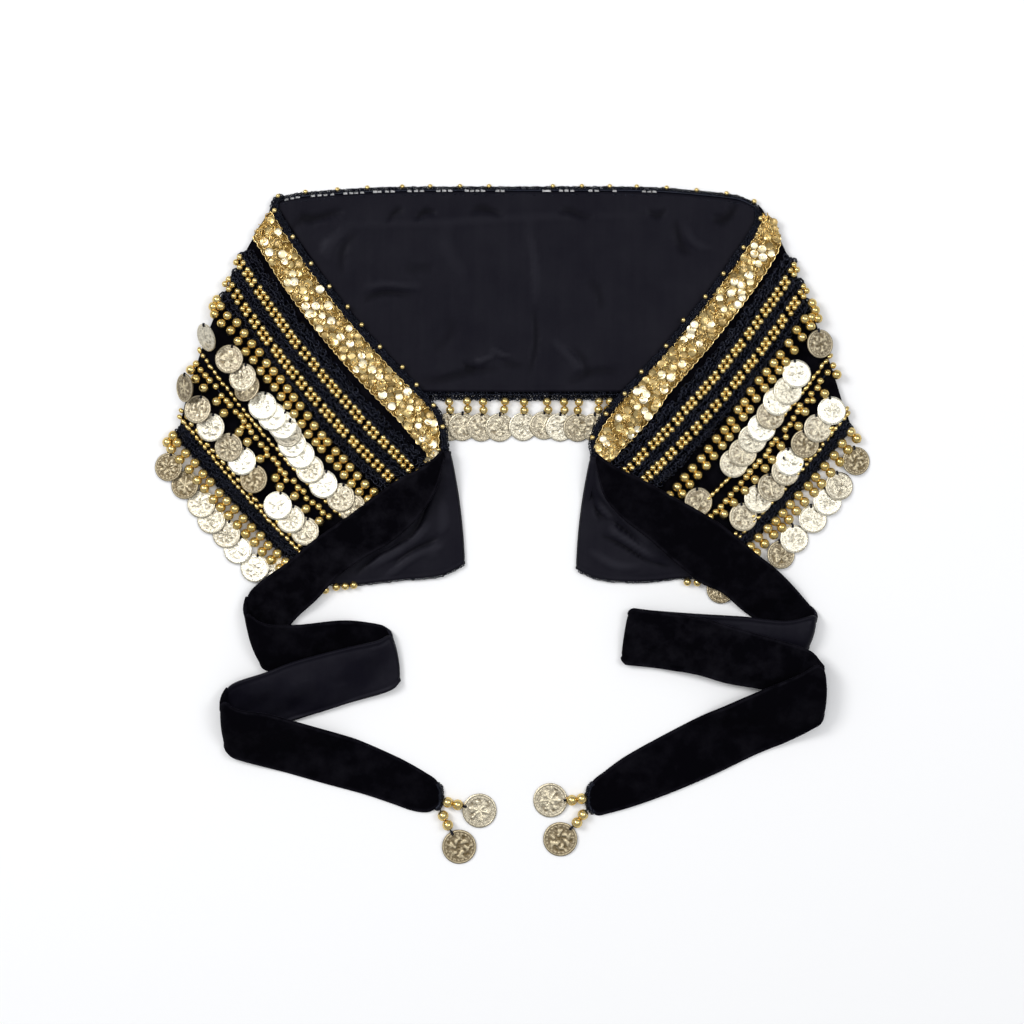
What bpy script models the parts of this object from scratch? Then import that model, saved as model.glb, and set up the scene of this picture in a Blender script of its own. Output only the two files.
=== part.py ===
# Belly dance hip scarf, laid flat on a table.
# A velvet belt with a charcoal lining lies lining up. Each side is folded over a slanted fold,
# so that its beaded velvet front faces up. The belt's narrow end is turned over again, and
# runs on as a tie that zigzags down the table and ends in two strings with a coin each.
# X runs along the belt, Y towards its top edge and Z up from the table.

import math

import bpy
import numpy as np

MM = 0.001

# Driving sizes, in millimetres.
BELT_DROP = 150.0          # top edge to hem
FRINGE_DROP = 29.0         # hem to the tips of the coins
VELVET_WALL = 2.0          # velvet with the lining it hides
FACE_WALL = 1.5            # velvet alone, under the centre's lining
LINING_WALL = 1.0
TIE_WALL = 2.0
FRINGE_WALL = 4.5          # beads and coins that lie over each other
SEAM = 0.3                 # clear gap between neighbours
TRIM_STAND = 3.0           # sewn rows above the flap's underside, on its slopes too
HEM_GAP = 1.4              # bare string between the hem and its first beads

# The left flap is measured along the belt from FLAP_ORIGIN and down from its top edge.
FLAP_ORIGIN = (-175.0, 227.2)
BELT_SLANT = math.radians(50.0)
BOW_RISE = 2.8             # how far the flap bulges towards its hem
BOW_CENTRE = 122.0
BOW_HALF = 91.0
MIRROR_X = 5.9             # the right flap mirrors the left one across this line
MIRROR_DROP = 3.5          # and lies this much lower
FOLD_SWELL = {"left": 10.0, "right": 3.0}    # how far each flap's fold bulges past a straight line
SWELL_RULINGS = 8          # rulings over which this dies out
TAKE_UP = {"left": 0.0, "right": 0.00057}    # cloth lost to slack across the belt, per mm of drop squared

# A fold is half a tube; the cloth under it stops short of the tube.
FOLD_DEPTH = 3.5
FOLD_STEPS = 4
FOLD_CLEAR = 2.2           # between the tube and the end of the cloth inside it
FOLD_LIFT = 2.0            # how far a tie stands off the one below it, at its fold
FOLD_RUN = 34.0            # and how far along it this dies out

# The pile's height is kept on a square grid.
TABLE_HALF = 280.0
CELL = 2.0
CURVE_STEPS = 12           # fine steps from one table row to the next
REACH = 10.0               # cloth bridges over what it covers by this much
SOFTEN = 4.0

# Centre panel, as rulings across the belt from its top edge to its hem, left to right.
# x_top, y_top, x_low, y_low
CENTRE_ROWS = (
    (-161, 227, -222, 77),
    (-145, 233, -190, 80),
    (-102, 236, -127, 84),
    (-57, 237, -64, 87),
    (6, 237, 6, 87),
    (69, 237, 76, 87),
    (108, 236, 139, 84),
    (151, 232, 199, 79),
    (172, 224, 232, 73),
)

# Left flap, as rulings from its fold to the turned end.
# along_top, drop_top, along_low, drop_low
FLAP_ROWS = (
    (6, 0, 87, 150),
    (56, 0, 121, 150),
    (108, 0, 148, 150),
    (154, 0, 175, 150),
    (182, 0, 196, 150),
    (188, 0, 224, 136),
    (191, 1, 254, 104),
    (193, 3, 278, 72),
)

# What is sewn along the flap: from and to, down from the top edge; height; last ruling it reaches.
# name, top, low, height, last
TRIM_ROWS = (
    ("edge_trim", 0.0, 5.5, 2.8, 17),
    ("sequin_band", 6.5, 27.0, 2.4, 17),
    ("crochet_row_1", 37.0, 42.2, 2.6, 15),
    ("bead_row_1", 43.2, 49.8, 3.6, 15),
    ("crochet_row_2", 50.8, 57.2, 2.6, 15),
    ("bead_row_2", 58.2, 64.6, 3.6, 15),
    ("crochet_row_3", 65.6, 69.8, 2.6, 14),
    ("coin_row_1", 70.8, 102.0, FRINGE_WALL, 14),
    ("coin_row_2", 103.0, 139.8, FRINGE_WALL, 13),
    ("hem_trim", 140.8, 149.6, 2.8, 12),
)
TRIM_FINISHES = {"edge": "crochet_navy", "sequin": "sequin_gold", "crochet": "crochet_navy",
                 "bead": "bead_gold", "coin": "coin_pale", "hem": "crochet_navy"}
FLAP_CELLS = 18            # along the flap
FRINGE_LINE = 0.35         # where the hem fringe's grid has its middle line
HEM_FRINGE_SPAN = {"left": (88.0, 207.0), "right": (88.0, 203.0)}    # from and to, along the flap
HEM_FRINGE_SLANT = 8.0     # how much shorter its first string's side is at the tips
HEM_FRINGE_CELLS = 12

# Cloth that is folded over, as rulings from the fold it starts at to where it stops.
# x_a, y_a, x_b, y_b, bow: how far the ruling bulges to the left of the way from a to b
END_ROWS = (
    (-43, 52, -33, -28, 2),
    (-47, 51, -51, -36, 0),
    (-50, 50, -81, -39, -3),
    (-53, 48, -107, -42, -6),
    (-57, 44, -130, -42, -8),
)

TIE_ROWS = {
    "tie_left_1": (
        (-48, 53, -47, 45, 0),
        (-61, 41, -53, 24, 0),
        (-80, 31, -66, 4, 0),
        (-101, 16, -85, -13, 0),
        (-120, 2, -104, -24, 0),
        (-140, -12, -122, -37, 0),
        (-158, -27, -137, -53, 0),
        (-175, -39, -155, -70, 0),
        (-190, -53, -175, -101, -4),
    ),
    "tie_left_2": (
        (-190, -53, -175, -101, -4),
        (-176, -68, -159, -105, 0),
        (-152, -70, -141, -106, 0),
        (-120, -67, -113, -109, 0),
        (-99, -69, -94, -110, 0),
        (-85, -72, -78, -112, 3),
    ),
    "tie_left_3": (
        (-85, -72, -78, -112, 3),
        (-92, -80, -89, -118, 0),
        (-117, -86, -117, -126, 0),
        (-151, -95, -148, -136, 0),
        (-172, -103, -172, -145, 0),
        (-193, -110, -190, -153, 0),
        (-204, -118, -201, -162, -2),
    ),
    "tie_left_4": (
        (-204, -118, -201, -162, -2),
        (-192, -128, -185, -167, 0),
        (-169, -132, -159, -174, 0),
        (-141, -140, -131, -182, 0),
        (-113, -149, -105, -189, 0),
        (-85, -161, -82, -195, 0),
        (-56, -177, -59, -201, 0),
    ),
    "tie_right_1": (
        (59, 50, 58, 42, 0),
        (71, 41, 64, 20, 0),
        (90, 32, 77, 4, 0),
        (110, 21, 95, -10, 0),
        (130, 10, 113, -26, 0),
        (149, -2, 132, -41, 0),
        (168, -18, 147, -48, 0),
        (189, -35, 168, -65, 0),
        (214, -62, 207, -89, 2),
    ),
    "tie_right_2": (
        (214, -62, 207, -89, 2),
        (191, -67, 188, -95, 0),
        (160, -64, 156, -98, 0),
        (125, -62, 123, -98, 0),
        (97, -60, 95, -97, 0),
        (82, -58, 76, -98, -1),
    ),
    "tie_right_3": (
        (82, -58, 76, -98, -1),
        (106, -61, 104, -101, 0),
        (132, -65, 129, -105, 0),
        (156, -72, 150, -111, 0),
        (181, -79, 173, -115, 0),
        (201, -85, 196, -121, 0),
        (217, -92, 217, -137, 4),
    ),
    "tie_right_4": (
        (217, -92, 217, -137, 4),
        (204, -102, 206, -145, 0),
        (189, -109, 191, -153, 0),
        (165, -119, 170, -162, 0),
        (135, -133, 143, -175, 0),
        (104, -149, 115, -187, 0),
        (79, -163, 88, -197, 0),
        (61, -176, 63, -204, 0),
    ),
}
TIE_CELLS = (12, 4)        # along and across one stretch
END_CELLS = (8, 5)
CENTRE_CELLS = 12
WIDE_CELL = 12.0
TOP_TRIM_INSET = 3.0       # the top trim stops short of the folds
# left, right, top and low edge of the coins that hang from the middle of the hem
CENTRE_FRINGE = (-49.0, 65.0, 86.4, 58.4)
CENTRE_FRINGE_CELLS = (6, 2)

# The gathered end of each tie, and the beads and coin on each of its two strings.
TIP_RADIUS = 3.3
BEAD_RADIUS = 3.2
COIN_RADIUS = 12.0
COIN_WALL = 1.2
TIP_ROUNDING = 0.35        # share of its radius that the tip's ends are bevelled by
# x_a, y_a, x_b, y_b
TIP_ENDS = {"left": (-51.5, -184, -52.5, -200), "right": (56, -184, 56, -201)}
# bead, bead and coin centres
STRINGS = {
    "left": (((-45, -194.7), (-38, -196.4), (-22.8, -200.8)),
             ((-48.3, -204.0), (-44.6, -211), (-37.1, -226.1))),
    "right": (((48.9, -192.1), (41.9, -193.2), (26.9, -193.5)),
              ((49.7, -203.3), (45.5, -208.9), (33.9, -220.8))),
}

# colour, roughness, metallic
FINISHES = {
    "velvet_black": ((0.006, 0.006, 0.009), 0.85, 0.0),
    "lining_charcoal": ((0.014, 0.014, 0.018), 0.6, 0.0),
    "crochet_navy": ((0.011, 0.012, 0.02), 0.5, 0.0),
    "sequin_gold": ((0.75, 0.52, 0.2), 0.3, 0.8),
    "bead_gold": ((0.8, 0.58, 0.25), 0.2, 1.0),
    "coin_pale": ((0.74, 0.68, 0.54), 0.3, 1.0),
}


def clear_scene():
    for item in list(bpy.data.objects):
        bpy.data.objects.remove(item, do_unlink=True)


def new_collection(name):
    collection = bpy.data.collections.new(name)
    bpy.context.scene.collection.children.link(collection)
    return collection


def finish(name):
    """The named material, made once."""
    found = bpy.data.materials.get(name)
    if found:
        return found
    colour, roughness, metallic = FINISHES[name]
    made = bpy.data.materials.new(name)
    made.use_nodes = True
    shader = made.node_tree.nodes["Principled BSDF"]
    shader.inputs["Base Color"].default_value = (*colour, 1.0)
    shader.inputs["Roughness"].default_value = roughness
    shader.inputs["Metallic"].default_value = metallic
    return made


class Pile:
    """How high the laid cloth stands at each spot of a square grid over the table."""

    def __init__(self):
        side = int(2 * TABLE_HALF / CELL) + 1
        self.top = np.zeros((side, side))

    def add(self, item):
        """Raise the grid to the top of an object's faces."""
        depsgraph = bpy.context.evaluated_depsgraph_get()
        evaluated = item.evaluated_get(depsgraph)
        mesh = evaluated.to_mesh()
        for face in mesh.polygons:
            corners = np.array([mesh.vertices[i].co for i in face.vertices]) / MM
            low = np.floor((corners.min(axis=0) + TABLE_HALF) / CELL).astype(int)
            high = np.ceil((corners.max(axis=0) + TABLE_HALF) / CELL).astype(int)
            patch = self.top[low[1]:high[1] + 1, low[0]:high[0] + 1]
            np.maximum(patch, corners[:, 2].max(), out=patch)
        evaluated.to_mesh_clear()

    def drape(self):
        """The height at which cloth laid now would lie: spread outwards, then softened."""
        field = self.top
        spread = round((REACH + SOFTEN) / CELL)
        blur = round(SOFTEN / CELL)
        for axis in (0, 1):
            field = np.max([np.roll(field, k, axis) for k in range(-spread, spread + 1)], axis=0)
        for axis in (0, 1):
            field = np.mean([np.roll(field, k, axis) for k in range(-blur, blur + 1)], axis=0)
        return field


def resting_height(field, plan):
    """Heights for plan points, with a seam's gap above whatever lies below."""
    place = (plan + TABLE_HALF) / CELL
    cell = np.floor(place).astype(int)
    part = place - cell
    column, row = cell[..., 0], cell[..., 1]
    right, up = part[..., 0], part[..., 1]
    height = (field[row, column] * (1 - right) * (1 - up)
              + field[row, column + 1] * right * (1 - up)
              + field[row + 1, column] * (1 - right) * up
              + field[row + 1, column + 1] * right * up)
    return height + SEAM * np.clip(height / SEAM, 0.0, 1.0)


def smooth_rows(rows, cells):
    """A table of rulings carried smoothly through its rows, as cells + 1 evenly spaced rulings."""
    rows = np.array(rows, dtype=float)
    padded = np.vstack([2 * rows[0] - rows[1], rows, 2 * rows[-1] - rows[-2]])
    dense = []
    for place in np.linspace(0.0, len(rows) - 1.0, CURVE_STEPS * (len(rows) - 1) + 1):
        start = min(int(place), len(rows) - 2)
        t = place - start
        before, a, b, after = padded[start:start + 4]
        dense.append(0.5 * (2 * a + (b - before) * t
                            + (2 * before - 5 * a + 4 * b - after) * t ** 2
                            + (3 * a - before - 3 * b + after) * t ** 3))
    dense = np.array(dense)
    middle = (dense[:, 0:2] + dense[:, 2:4]) / 2
    length = np.concatenate([[0.0], np.cumsum(np.linalg.norm(np.diff(middle, axis=0), axis=1))])
    wanted = np.linspace(0.0, length[-1], cells + 1)
    return np.column_stack([np.interp(wanted, length, column) for column in dense.T])


def mirrored(plan, side):
    """Plan points of the left flap, or the same points on the right."""
    if side == "left":
        return plan
    return np.stack([2 * MIRROR_X - plan[..., 0], plan[..., 1] - MIRROR_DROP], axis=-1)


def sheet(collection, name, points, wall, material):
    """Cloth of one wall thickness, laid upwards from a grid of points."""
    rows, columns = points.shape[:2]
    along, across = np.diff(points, axis=0)[:, :-1], np.diff(points, axis=1)[:-1]
    faces_up = np.sum(along[..., 0] * across[..., 1] - along[..., 1] * across[..., 0]) > 0
    faces = []
    for i in range(rows - 1):
        for j in range(columns - 1):
            corner = i * columns + j
            face = (corner, corner + columns, corner + columns + 1, corner + 1)
            faces.append(face if faces_up else face[::-1])
    mesh = bpy.data.meshes.new(name)
    mesh.from_pydata((points.reshape(-1, 3) * MM).tolist(), [], faces)
    mesh.materials.append(finish(material))
    item = bpy.data.objects.new(name, mesh)
    collection.objects.link(item)
    solidify = item.modifiers.new("wall", "SOLIDIFY")
    solidify.thickness = wall * MM
    solidify.offset = 1.0
    mesh.shade_smooth()
    mesh.set_sharp_from_angle(angle=math.radians(40))
    bpy.context.view_layer.update()
    return item


def rulings(table, across):
    """Plan points on rulings from a to b, each bulging sideways by its bow."""
    v = np.linspace(0.0, 1.0, across + 1)[None, :, None]
    start, stop, bow = table[:, None, 0:2], table[:, None, 2:4], table[:, None, 4:5]
    way = (stop - start) / np.linalg.norm(stop - start, axis=2, keepdims=True)
    left = np.stack([-way[..., 1], way[..., 0]], axis=-1)
    return start + (stop - start) * v + left * bow * 4 * v * (1 - v)


def inward(plan, first, second, depth):
    """Steps from the first ruling towards the second that each gain depth across the first."""
    chord = plan[first, -1] - plan[first, 0]
    normal = np.array([-chord[1], chord[0]]) / np.linalg.norm(chord)
    steps = plan[second] - plan[first]
    if normal @ steps.mean(axis=0) < 0:
        normal = -normal
    gain = (steps @ normal)[:, None]
    return depth * np.where(gain > depth, steps / np.maximum(gain, depth), normal)


def folded_cloth(plan, field, base, wall, lift, stops_at_fold):
    """Grid points of a stretch that starts in a fold and may stop under the next one."""
    plan = plan.copy()
    depth = wall + FOLD_DEPTH
    outline = plan[0].copy()
    into = inward(plan, 0, 1, depth)
    plan[0] = outline + into
    if stops_at_fold:
        plan[-1] += inward(plan, -1, -2, depth + FOLD_CLEAR)
    run = np.linalg.norm(plan - plan[:1], axis=2)
    height = resting_height(field, plan) + lift * np.clip(1 - run / FOLD_RUN, 0, 1) ** 2
    flat = np.dstack([plan, height])
    low = resting_height(base, plan[0]) + wall
    lip = []
    for step in range(FOLD_STEPS):
        angle = math.pi * (step / FOLD_STEPS - 0.5)
        inset = (wall + FOLD_DEPTH * (1 - math.cos(angle))) / depth
        rise = low + (height[0] - low) * (1 + math.sin(angle)) / 2
        lip.append(np.column_stack([outline + into * inset, rise]))
    return np.concatenate([np.array(lip), flat])


def flap_plan(side):
    """Plan points of a flap, laid as the left one, on the lines where its trims start and end."""
    table = smooth_rows(FLAP_ROWS, FLAP_CELLS)
    part = (flap_lines() / BELT_DROP)[None, :]
    along = table[:, 0:1] * (1 - part) + table[:, 2:3] * part
    drop = table[:, 1:2] * (1 - part) + table[:, 3:4] * part
    fade = np.clip(1 - np.arange(FLAP_CELLS + 1) / SWELL_RULINGS, 0.0, 1.0)[:, None] ** 2
    along -= FOLD_SWELL[side] * fade * 4 * part * (1 - part)
    return flap_point(along, drop - TAKE_UP[side] * drop ** 2)


def flap_point(along, drop):
    bulge = BOW_RISE * (1 - 2 * ((along - BOW_CENTRE) / BOW_HALF) ** 2)
    drop = drop + bulge
    x = FLAP_ORIGIN[0] + along * math.cos(BELT_SLANT) - drop * math.sin(BELT_SLANT)
    y = FLAP_ORIGIN[1] - along * math.sin(BELT_SLANT) - drop * math.cos(BELT_SLANT)
    return np.stack([x, y], axis=-1)


def flap_lines():
    """Where the flap's grid has a line, down from its top edge."""
    drops = [0.0]
    for _, top, low, _, _ in TRIM_ROWS:
        drops += row_drops(top, low)[1:]
    return np.array(sorted(set(drops[:-1] + [BELT_DROP])))


def row_drops(top, low):
    """Drops from one edge of a sewn row to the other, wide rows in cells of about 12 mm."""
    return list(np.linspace(top, low, 1 + max(1, round((low - top) / WIDE_CELL))))


def points_on(grid, drops, last):
    """Points of the flap's grid at the given drops, for its first rulings."""
    lines = flap_lines()
    kept = grid[FOLD_STEPS:FOLD_STEPS + last + 1]
    columns = [[np.interp(drops, lines, row[:, axis]) for axis in range(3)] for row in kept]
    return np.array(columns).transpose(0, 2, 1)


def centre_points(top, low, height, across=3, trim_ends=0.0):
    """Grid of the centre panel between two drops, at one height above the table."""
    table = smooth_rows(CENTRE_ROWS, CENTRE_CELLS)
    part = np.linspace(top, low, across + 1)[None, :, None] / BELT_DROP
    plan = table[:, None, 0:2] * (1 - part) + table[:, None, 2:4] * part
    plan[0, :, 0] += trim_ends
    plan[-1, :, 0] -= trim_ends
    return np.dstack([plan, np.full(plan.shape[:2], height)])


def build_centre(collection, pile):
    fold = VELVET_WALL + FOLD_DEPTH + SEAM
    parts = (
        ("centre_velvet", 4.4, 145.6, 0.0, 3, fold, FACE_WALL, "velvet_black"),
        ("centre_lining", 4.4, 143.0, FACE_WALL + SEAM, 3, fold, LINING_WALL, "lining_charcoal"),
        ("centre_top_trim", 0.0, 4.0, 0.0, 1, TOP_TRIM_INSET, 2.6, "crochet_navy"),
        ("centre_hem_trim", 146.0, BELT_DROP, 0.0, 1, fold, 2.8, "crochet_navy"),
    )
    for name, top, low, height, across, ends, wall, material in parts:
        points = centre_points(top, low, height, across, ends)
        pile.add(sheet(collection, name, points, wall, material))
    build_centre_fringe(collection, pile)


def build_centre_fringe(collection, pile):
    """The bead strings and coins that hang from the middle of the hem."""
    left, right, top, low = CENTRE_FRINGE
    along, across = CENTRE_FRINGE_CELLS
    x, y = np.meshgrid(np.linspace(left, right, along + 1), np.linspace(top, low, across + 1),
                       indexing="ij")
    points = np.dstack([x, y, np.zeros_like(x)])
    pile.add(sheet(collection, "centre_fringe", points, FRINGE_WALL, "coin_pale"))


def build_flap(collection, pile, side):
    """A flap with everything sewn along it. Returns the field it was laid on."""
    field = pile.drape()
    table_top = np.zeros_like(field)
    plan = mirrored(flap_plan(side), side)
    grid = folded_cloth(plan, field, table_top, VELVET_WALL, 0.0, False)
    flap = sheet(collection, f"flap_{side}", grid, VELVET_WALL, "velvet_black")
    pile.add(flap)
    hem_field = pile.drape()
    trims = [build_trim(collection, side, grid, *row) for row in TRIM_ROWS]
    trims.append(build_hem_fringe(collection, side, hem_field))
    for trim in trims:
        pile.add(trim)
    return field


def build_trim(collection, side, grid, name, top, low, height, last):
    """One sewn row, made from the flap's points moved out past its wall."""
    points = points_on(grid, row_drops(top, low), last)
    points[..., 2] += TRIM_STAND
    return sheet(collection, f"{name}_{side}", points, height, TRIM_FINISHES[name.split("_")[0]])


def build_hem_fringe(collection, side, field):
    """The beads and coins below the hem, from the hem's edge to their tips."""
    hem = BELT_DROP - TAKE_UP[side] * BELT_DROP ** 2
    drops = hem + np.array([HEM_GAP, FRINGE_DROP * FRINGE_LINE, FRINGE_DROP])
    stations = np.linspace(*HEM_FRINGE_SPAN[side], HEM_FRINGE_CELLS + 1)
    along, drop = np.meshgrid(stations, drops, indexing="ij")
    fade = np.linspace(1.0, 0.0, HEM_FRINGE_CELLS + 1)[:, None]
    along = along + HEM_FRINGE_SLANT * fade * (drop - hem) / FRINGE_DROP
    plan = mirrored(flap_point(along, drop), side)
    points = np.dstack([plan, resting_height(field, plan)])
    return sheet(collection, f"coin_row_3_{side}", points, FRINGE_WALL, "coin_pale")


def build_end(collection, pile, side, base):
    """The belt's narrow end, turned over with its lining up. Returns the field under it."""
    field = pile.drape()
    along, across = END_CELLS
    plan = mirrored(rulings(smooth_rows(END_ROWS, along), across), side)
    grid = folded_cloth(plan, field, base, VELVET_WALL, 0.0, False)
    pile.add(sheet(collection, f"belt_end_{side}", grid, VELVET_WALL, "lining_charcoal"))
    return field


def build_ties(collection, pile, side):
    """Four stretches of tie, each laid on the one before."""
    along, across = TIE_CELLS
    lining_up = ("tie_left_3", "tie_right_2")
    base = pile.drape()
    for number in (1, 2, 3, 4):
        name = f"tie_{side}_{number}"
        field = pile.drape()
        plan = rulings(smooth_rows(TIE_ROWS[name], along), across)
        if number == 1:
            grid = np.dstack([plan, resting_height(field, plan)])
            grid[-1, :, 0:2] += inward(plan, -1, -2, TIE_WALL + FOLD_DEPTH + FOLD_CLEAR)
        else:
            grid = folded_cloth(plan, field, base, TIE_WALL, FOLD_LIFT, number < 4)
        material = "lining_charcoal" if name in lining_up else "velvet_black"
        pile.add(sheet(collection, name, grid, TIE_WALL, material))
        base = field


def lying_rod(collection, name, ends, radius, material):
    """A round-edged rod lying on the table between two points."""
    start, stop = np.array(ends[:2]), np.array(ends[2:])
    way = stop - start
    bpy.ops.mesh.primitive_cylinder_add(
        vertices=12, radius=radius * MM, depth=np.linalg.norm(way) * MM,
        location=(*((start + stop) / 2 * MM), radius * MM),
        rotation=(math.pi / 2, 0.0, math.atan2(way[1], way[0]) + math.pi / 2))
    return adopt(collection, name, material, bevel=radius * TIP_ROUNDING)


def adopt(collection, name, material, bevel=0.0):
    """Name the object just added, move it to the collection and give it its finish."""
    item = bpy.context.object
    item.name = name
    for held in list(item.users_collection):
        held.objects.unlink(item)
    collection.objects.link(item)
    item.data.materials.append(finish(material))
    if bevel:
        rounding = item.modifiers.new("edge", "BEVEL")
        rounding.width = bevel * MM
        rounding.segments = 1
    item.data.shade_smooth()
    item.data.set_sharp_from_angle(angle=math.radians(40))
    return item


def build_pendants(collection, side):
    """The tie's gathered end and its two strings of two beads and a coin."""
    lying_rod(collection, f"tie_tip_{side}", TIP_ENDS[side], TIP_RADIUS, "crochet_navy")
    for number, (first, second, coin) in enumerate(STRINGS[side], start=1):
        for letter, (x, y) in (("a", first), ("b", second)):
            bpy.ops.mesh.primitive_uv_sphere_add(
                segments=10, ring_count=6, radius=BEAD_RADIUS * MM,
                location=(x * MM, y * MM, BEAD_RADIUS * MM))
            adopt(collection, f"string_bead_{side}_{number}{letter}", "bead_gold")
        bpy.ops.mesh.primitive_cylinder_add(
            vertices=24, radius=COIN_RADIUS * MM, depth=COIN_WALL * MM,
            location=(coin[0] * MM, coin[1] * MM, COIN_WALL / 2 * MM))
        adopt(collection, f"string_coin_{side}_{number}", "coin_pale")


def centre_on_origin(collection):
    """Hang every piece on an empty, placed so that the box is centred over the origin."""
    depsgraph = bpy.context.evaluated_depsgraph_get()
    corners = []
    for item in collection.objects:
        box = item.evaluated_get(depsgraph).bound_box
        corners += [item.matrix_world @ type(item.location)(corner) for corner in box]
    corners = np.array(corners)
    middle = (corners.min(axis=0) + corners.max(axis=0)) / 2
    holder = bpy.data.objects.new("hip_scarf", None)
    for item in list(collection.objects):
        item.parent = holder
    collection.objects.link(holder)
    holder.location = (-middle[0], -middle[1], 0.0)


def main():
    clear_scene()
    collection = new_collection("belly_dance_hip_scarf")
    pile = Pile()
    build_centre(collection, pile)
    for side in ("left", "right"):
        under_flap = build_flap(collection, pile, side)
        build_end(collection, pile, side, under_flap)
        build_ties(collection, pile, side)
        build_pendants(collection, side)
    centre_on_origin(collection)


main()
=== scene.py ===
import math

import bpy
import numpy as np
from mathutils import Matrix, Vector
from mathutils.bvhtree import BVHTree


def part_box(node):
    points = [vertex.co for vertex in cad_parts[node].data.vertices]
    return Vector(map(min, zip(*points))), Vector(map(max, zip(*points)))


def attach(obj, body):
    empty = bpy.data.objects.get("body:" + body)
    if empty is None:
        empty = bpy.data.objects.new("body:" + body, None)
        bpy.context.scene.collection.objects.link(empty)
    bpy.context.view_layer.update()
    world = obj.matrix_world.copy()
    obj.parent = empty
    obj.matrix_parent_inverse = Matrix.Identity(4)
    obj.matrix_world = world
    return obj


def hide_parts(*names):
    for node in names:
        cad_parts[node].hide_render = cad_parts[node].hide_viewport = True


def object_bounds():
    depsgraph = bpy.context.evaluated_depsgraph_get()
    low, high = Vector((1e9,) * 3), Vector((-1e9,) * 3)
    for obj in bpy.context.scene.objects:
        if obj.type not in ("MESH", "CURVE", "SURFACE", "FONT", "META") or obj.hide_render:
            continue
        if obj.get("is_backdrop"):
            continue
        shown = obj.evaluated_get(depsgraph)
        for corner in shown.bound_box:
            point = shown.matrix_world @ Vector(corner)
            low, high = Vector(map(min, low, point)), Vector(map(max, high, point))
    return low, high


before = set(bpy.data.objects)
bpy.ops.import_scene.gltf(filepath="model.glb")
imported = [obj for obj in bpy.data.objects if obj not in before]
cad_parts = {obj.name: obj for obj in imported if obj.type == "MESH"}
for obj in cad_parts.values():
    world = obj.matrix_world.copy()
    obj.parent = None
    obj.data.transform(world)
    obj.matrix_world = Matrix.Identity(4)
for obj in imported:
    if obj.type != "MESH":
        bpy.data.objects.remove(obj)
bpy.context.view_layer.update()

# Belly dance hip scarf laid on a table: velvet with a charcoal lining, crochet, beads and coins.
# Plans are drawn in millimetres, X along the belt and Y towards its top edge.

mm = 0.001
rng = np.random.default_rng(11)
sides = ("left", "right")
firstStringCoin = np.array([-22.8, -200.8])
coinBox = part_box("string_coin_left_1")
drawingShift = np.array((coinBox[0] + coinBox[1]).xy) / 2 / mm - firstStringCoin
print("frame loaded:", len(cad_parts), "solids, shift", np.round(drawingShift, 2))


class Sum:
    # a socket that can be written in sums
    def __init__(self, finish, socket):
        self.finish = finish
        self.socket = socket

    def combine(self, operation, other, swapped=False):
        values = (other, self) if swapped else (self, other)
        return self.finish.node("ShaderNodeMath", {"operation": operation}, dict(enumerate(values)))

    def __add__(self, other):
        return self.combine("ADD", other)

    def __sub__(self, other):
        return self.combine("SUBTRACT", other)

    def __rsub__(self, other):
        return self.combine("SUBTRACT", other, True)

    def __mul__(self, other):
        return self.combine("MULTIPLY", other)

    __radd__ = __add__
    __rmul__ = __mul__


class Finish:
    # a Principled material; what stays the same all over is set straight on its sockets
    def __init__(self, name, **constants):
        self.material = bpy.data.materials.new(name)
        self.material.use_nodes = True
        self.tree = self.material.node_tree
        self.shader = self.tree.nodes["Principled BSDF"]
        for key, value in constants.items():
            self.shader.inputs[key.replace("_", " ")].default_value = value

    def node(self, kind, settings=None, inputs=None, output=0):
        made = self.tree.nodes.new(kind)
        for key, value in (settings or {}).items():
            if key == "stops":
                ramp = made.color_ramp
                while len(ramp.elements) < len(value):
                    ramp.elements.new(0.5)
                for element, (place, colour) in zip(ramp.elements, value):
                    element.position = place
                    element.color = (*colour, 1.0) if len(colour) == 3 else colour
            else:
                setattr(made, key, value)
        for key, value in (inputs or {}).items():
            if isinstance(value, Sum):
                self.tree.links.new(value.socket, made.inputs[key])
            else:
                made.inputs[key].default_value = value
        return Sum(self, made.outputs[output])

    def feed(self, socket, value):
        self.tree.links.new(value.socket, self.shader.inputs[socket])

    def place(self, stretch=(1.0, 1.0, 1.0)):
        # object places in millimetres
        coordinates = self.node("ShaderNodeTexCoord", output="Object")
        scale = [1 / mm * value for value in stretch]
        return self.node("ShaderNodeVectorMath", {"operation": "MULTIPLY"}, {0: coordinates, 1: scale})

    def noise(self, place, scale, detail=2.0, roughness=0.5, distortion=0.0):
        return self.node("ShaderNodeTexNoise", {}, {
            "Vector": place, "Scale": scale, "Detail": detail, "Roughness": roughness,
            "Distortion": distortion})

    def attribute(self, name):
        return self.node("ShaderNodeAttribute", {"attribute_name": name}, output="Fac")

    def ramp(self, value, *stops):
        return self.node("ShaderNodeValToRGB", {"stops": stops}, {"Fac": value})

    def level(self, value, low, high, to=(0.0, 1.0)):
        return self.node("ShaderNodeMapRange", {}, {
            "Value": value, "From Min": low, "From Max": high, "To Min": to[0], "To Max": to[1]})

    def mix(self, factor, first, second):
        return self.node("ShaderNodeMix", {"data_type": "RGBA"}, {
            "Factor": factor, 6: self.solid(first), 7: self.solid(second)}, output=2)

    def solid(self, colour):
        return colour if isinstance(colour, Sum) else (*colour, 1.0)

    def bump(self, height, distance, strength):
        made = self.node("ShaderNodeBump", {}, {"Strength": strength, "Distance": distance * mm,
                                                "Height": height})
        self.feed("Normal", made)


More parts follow.
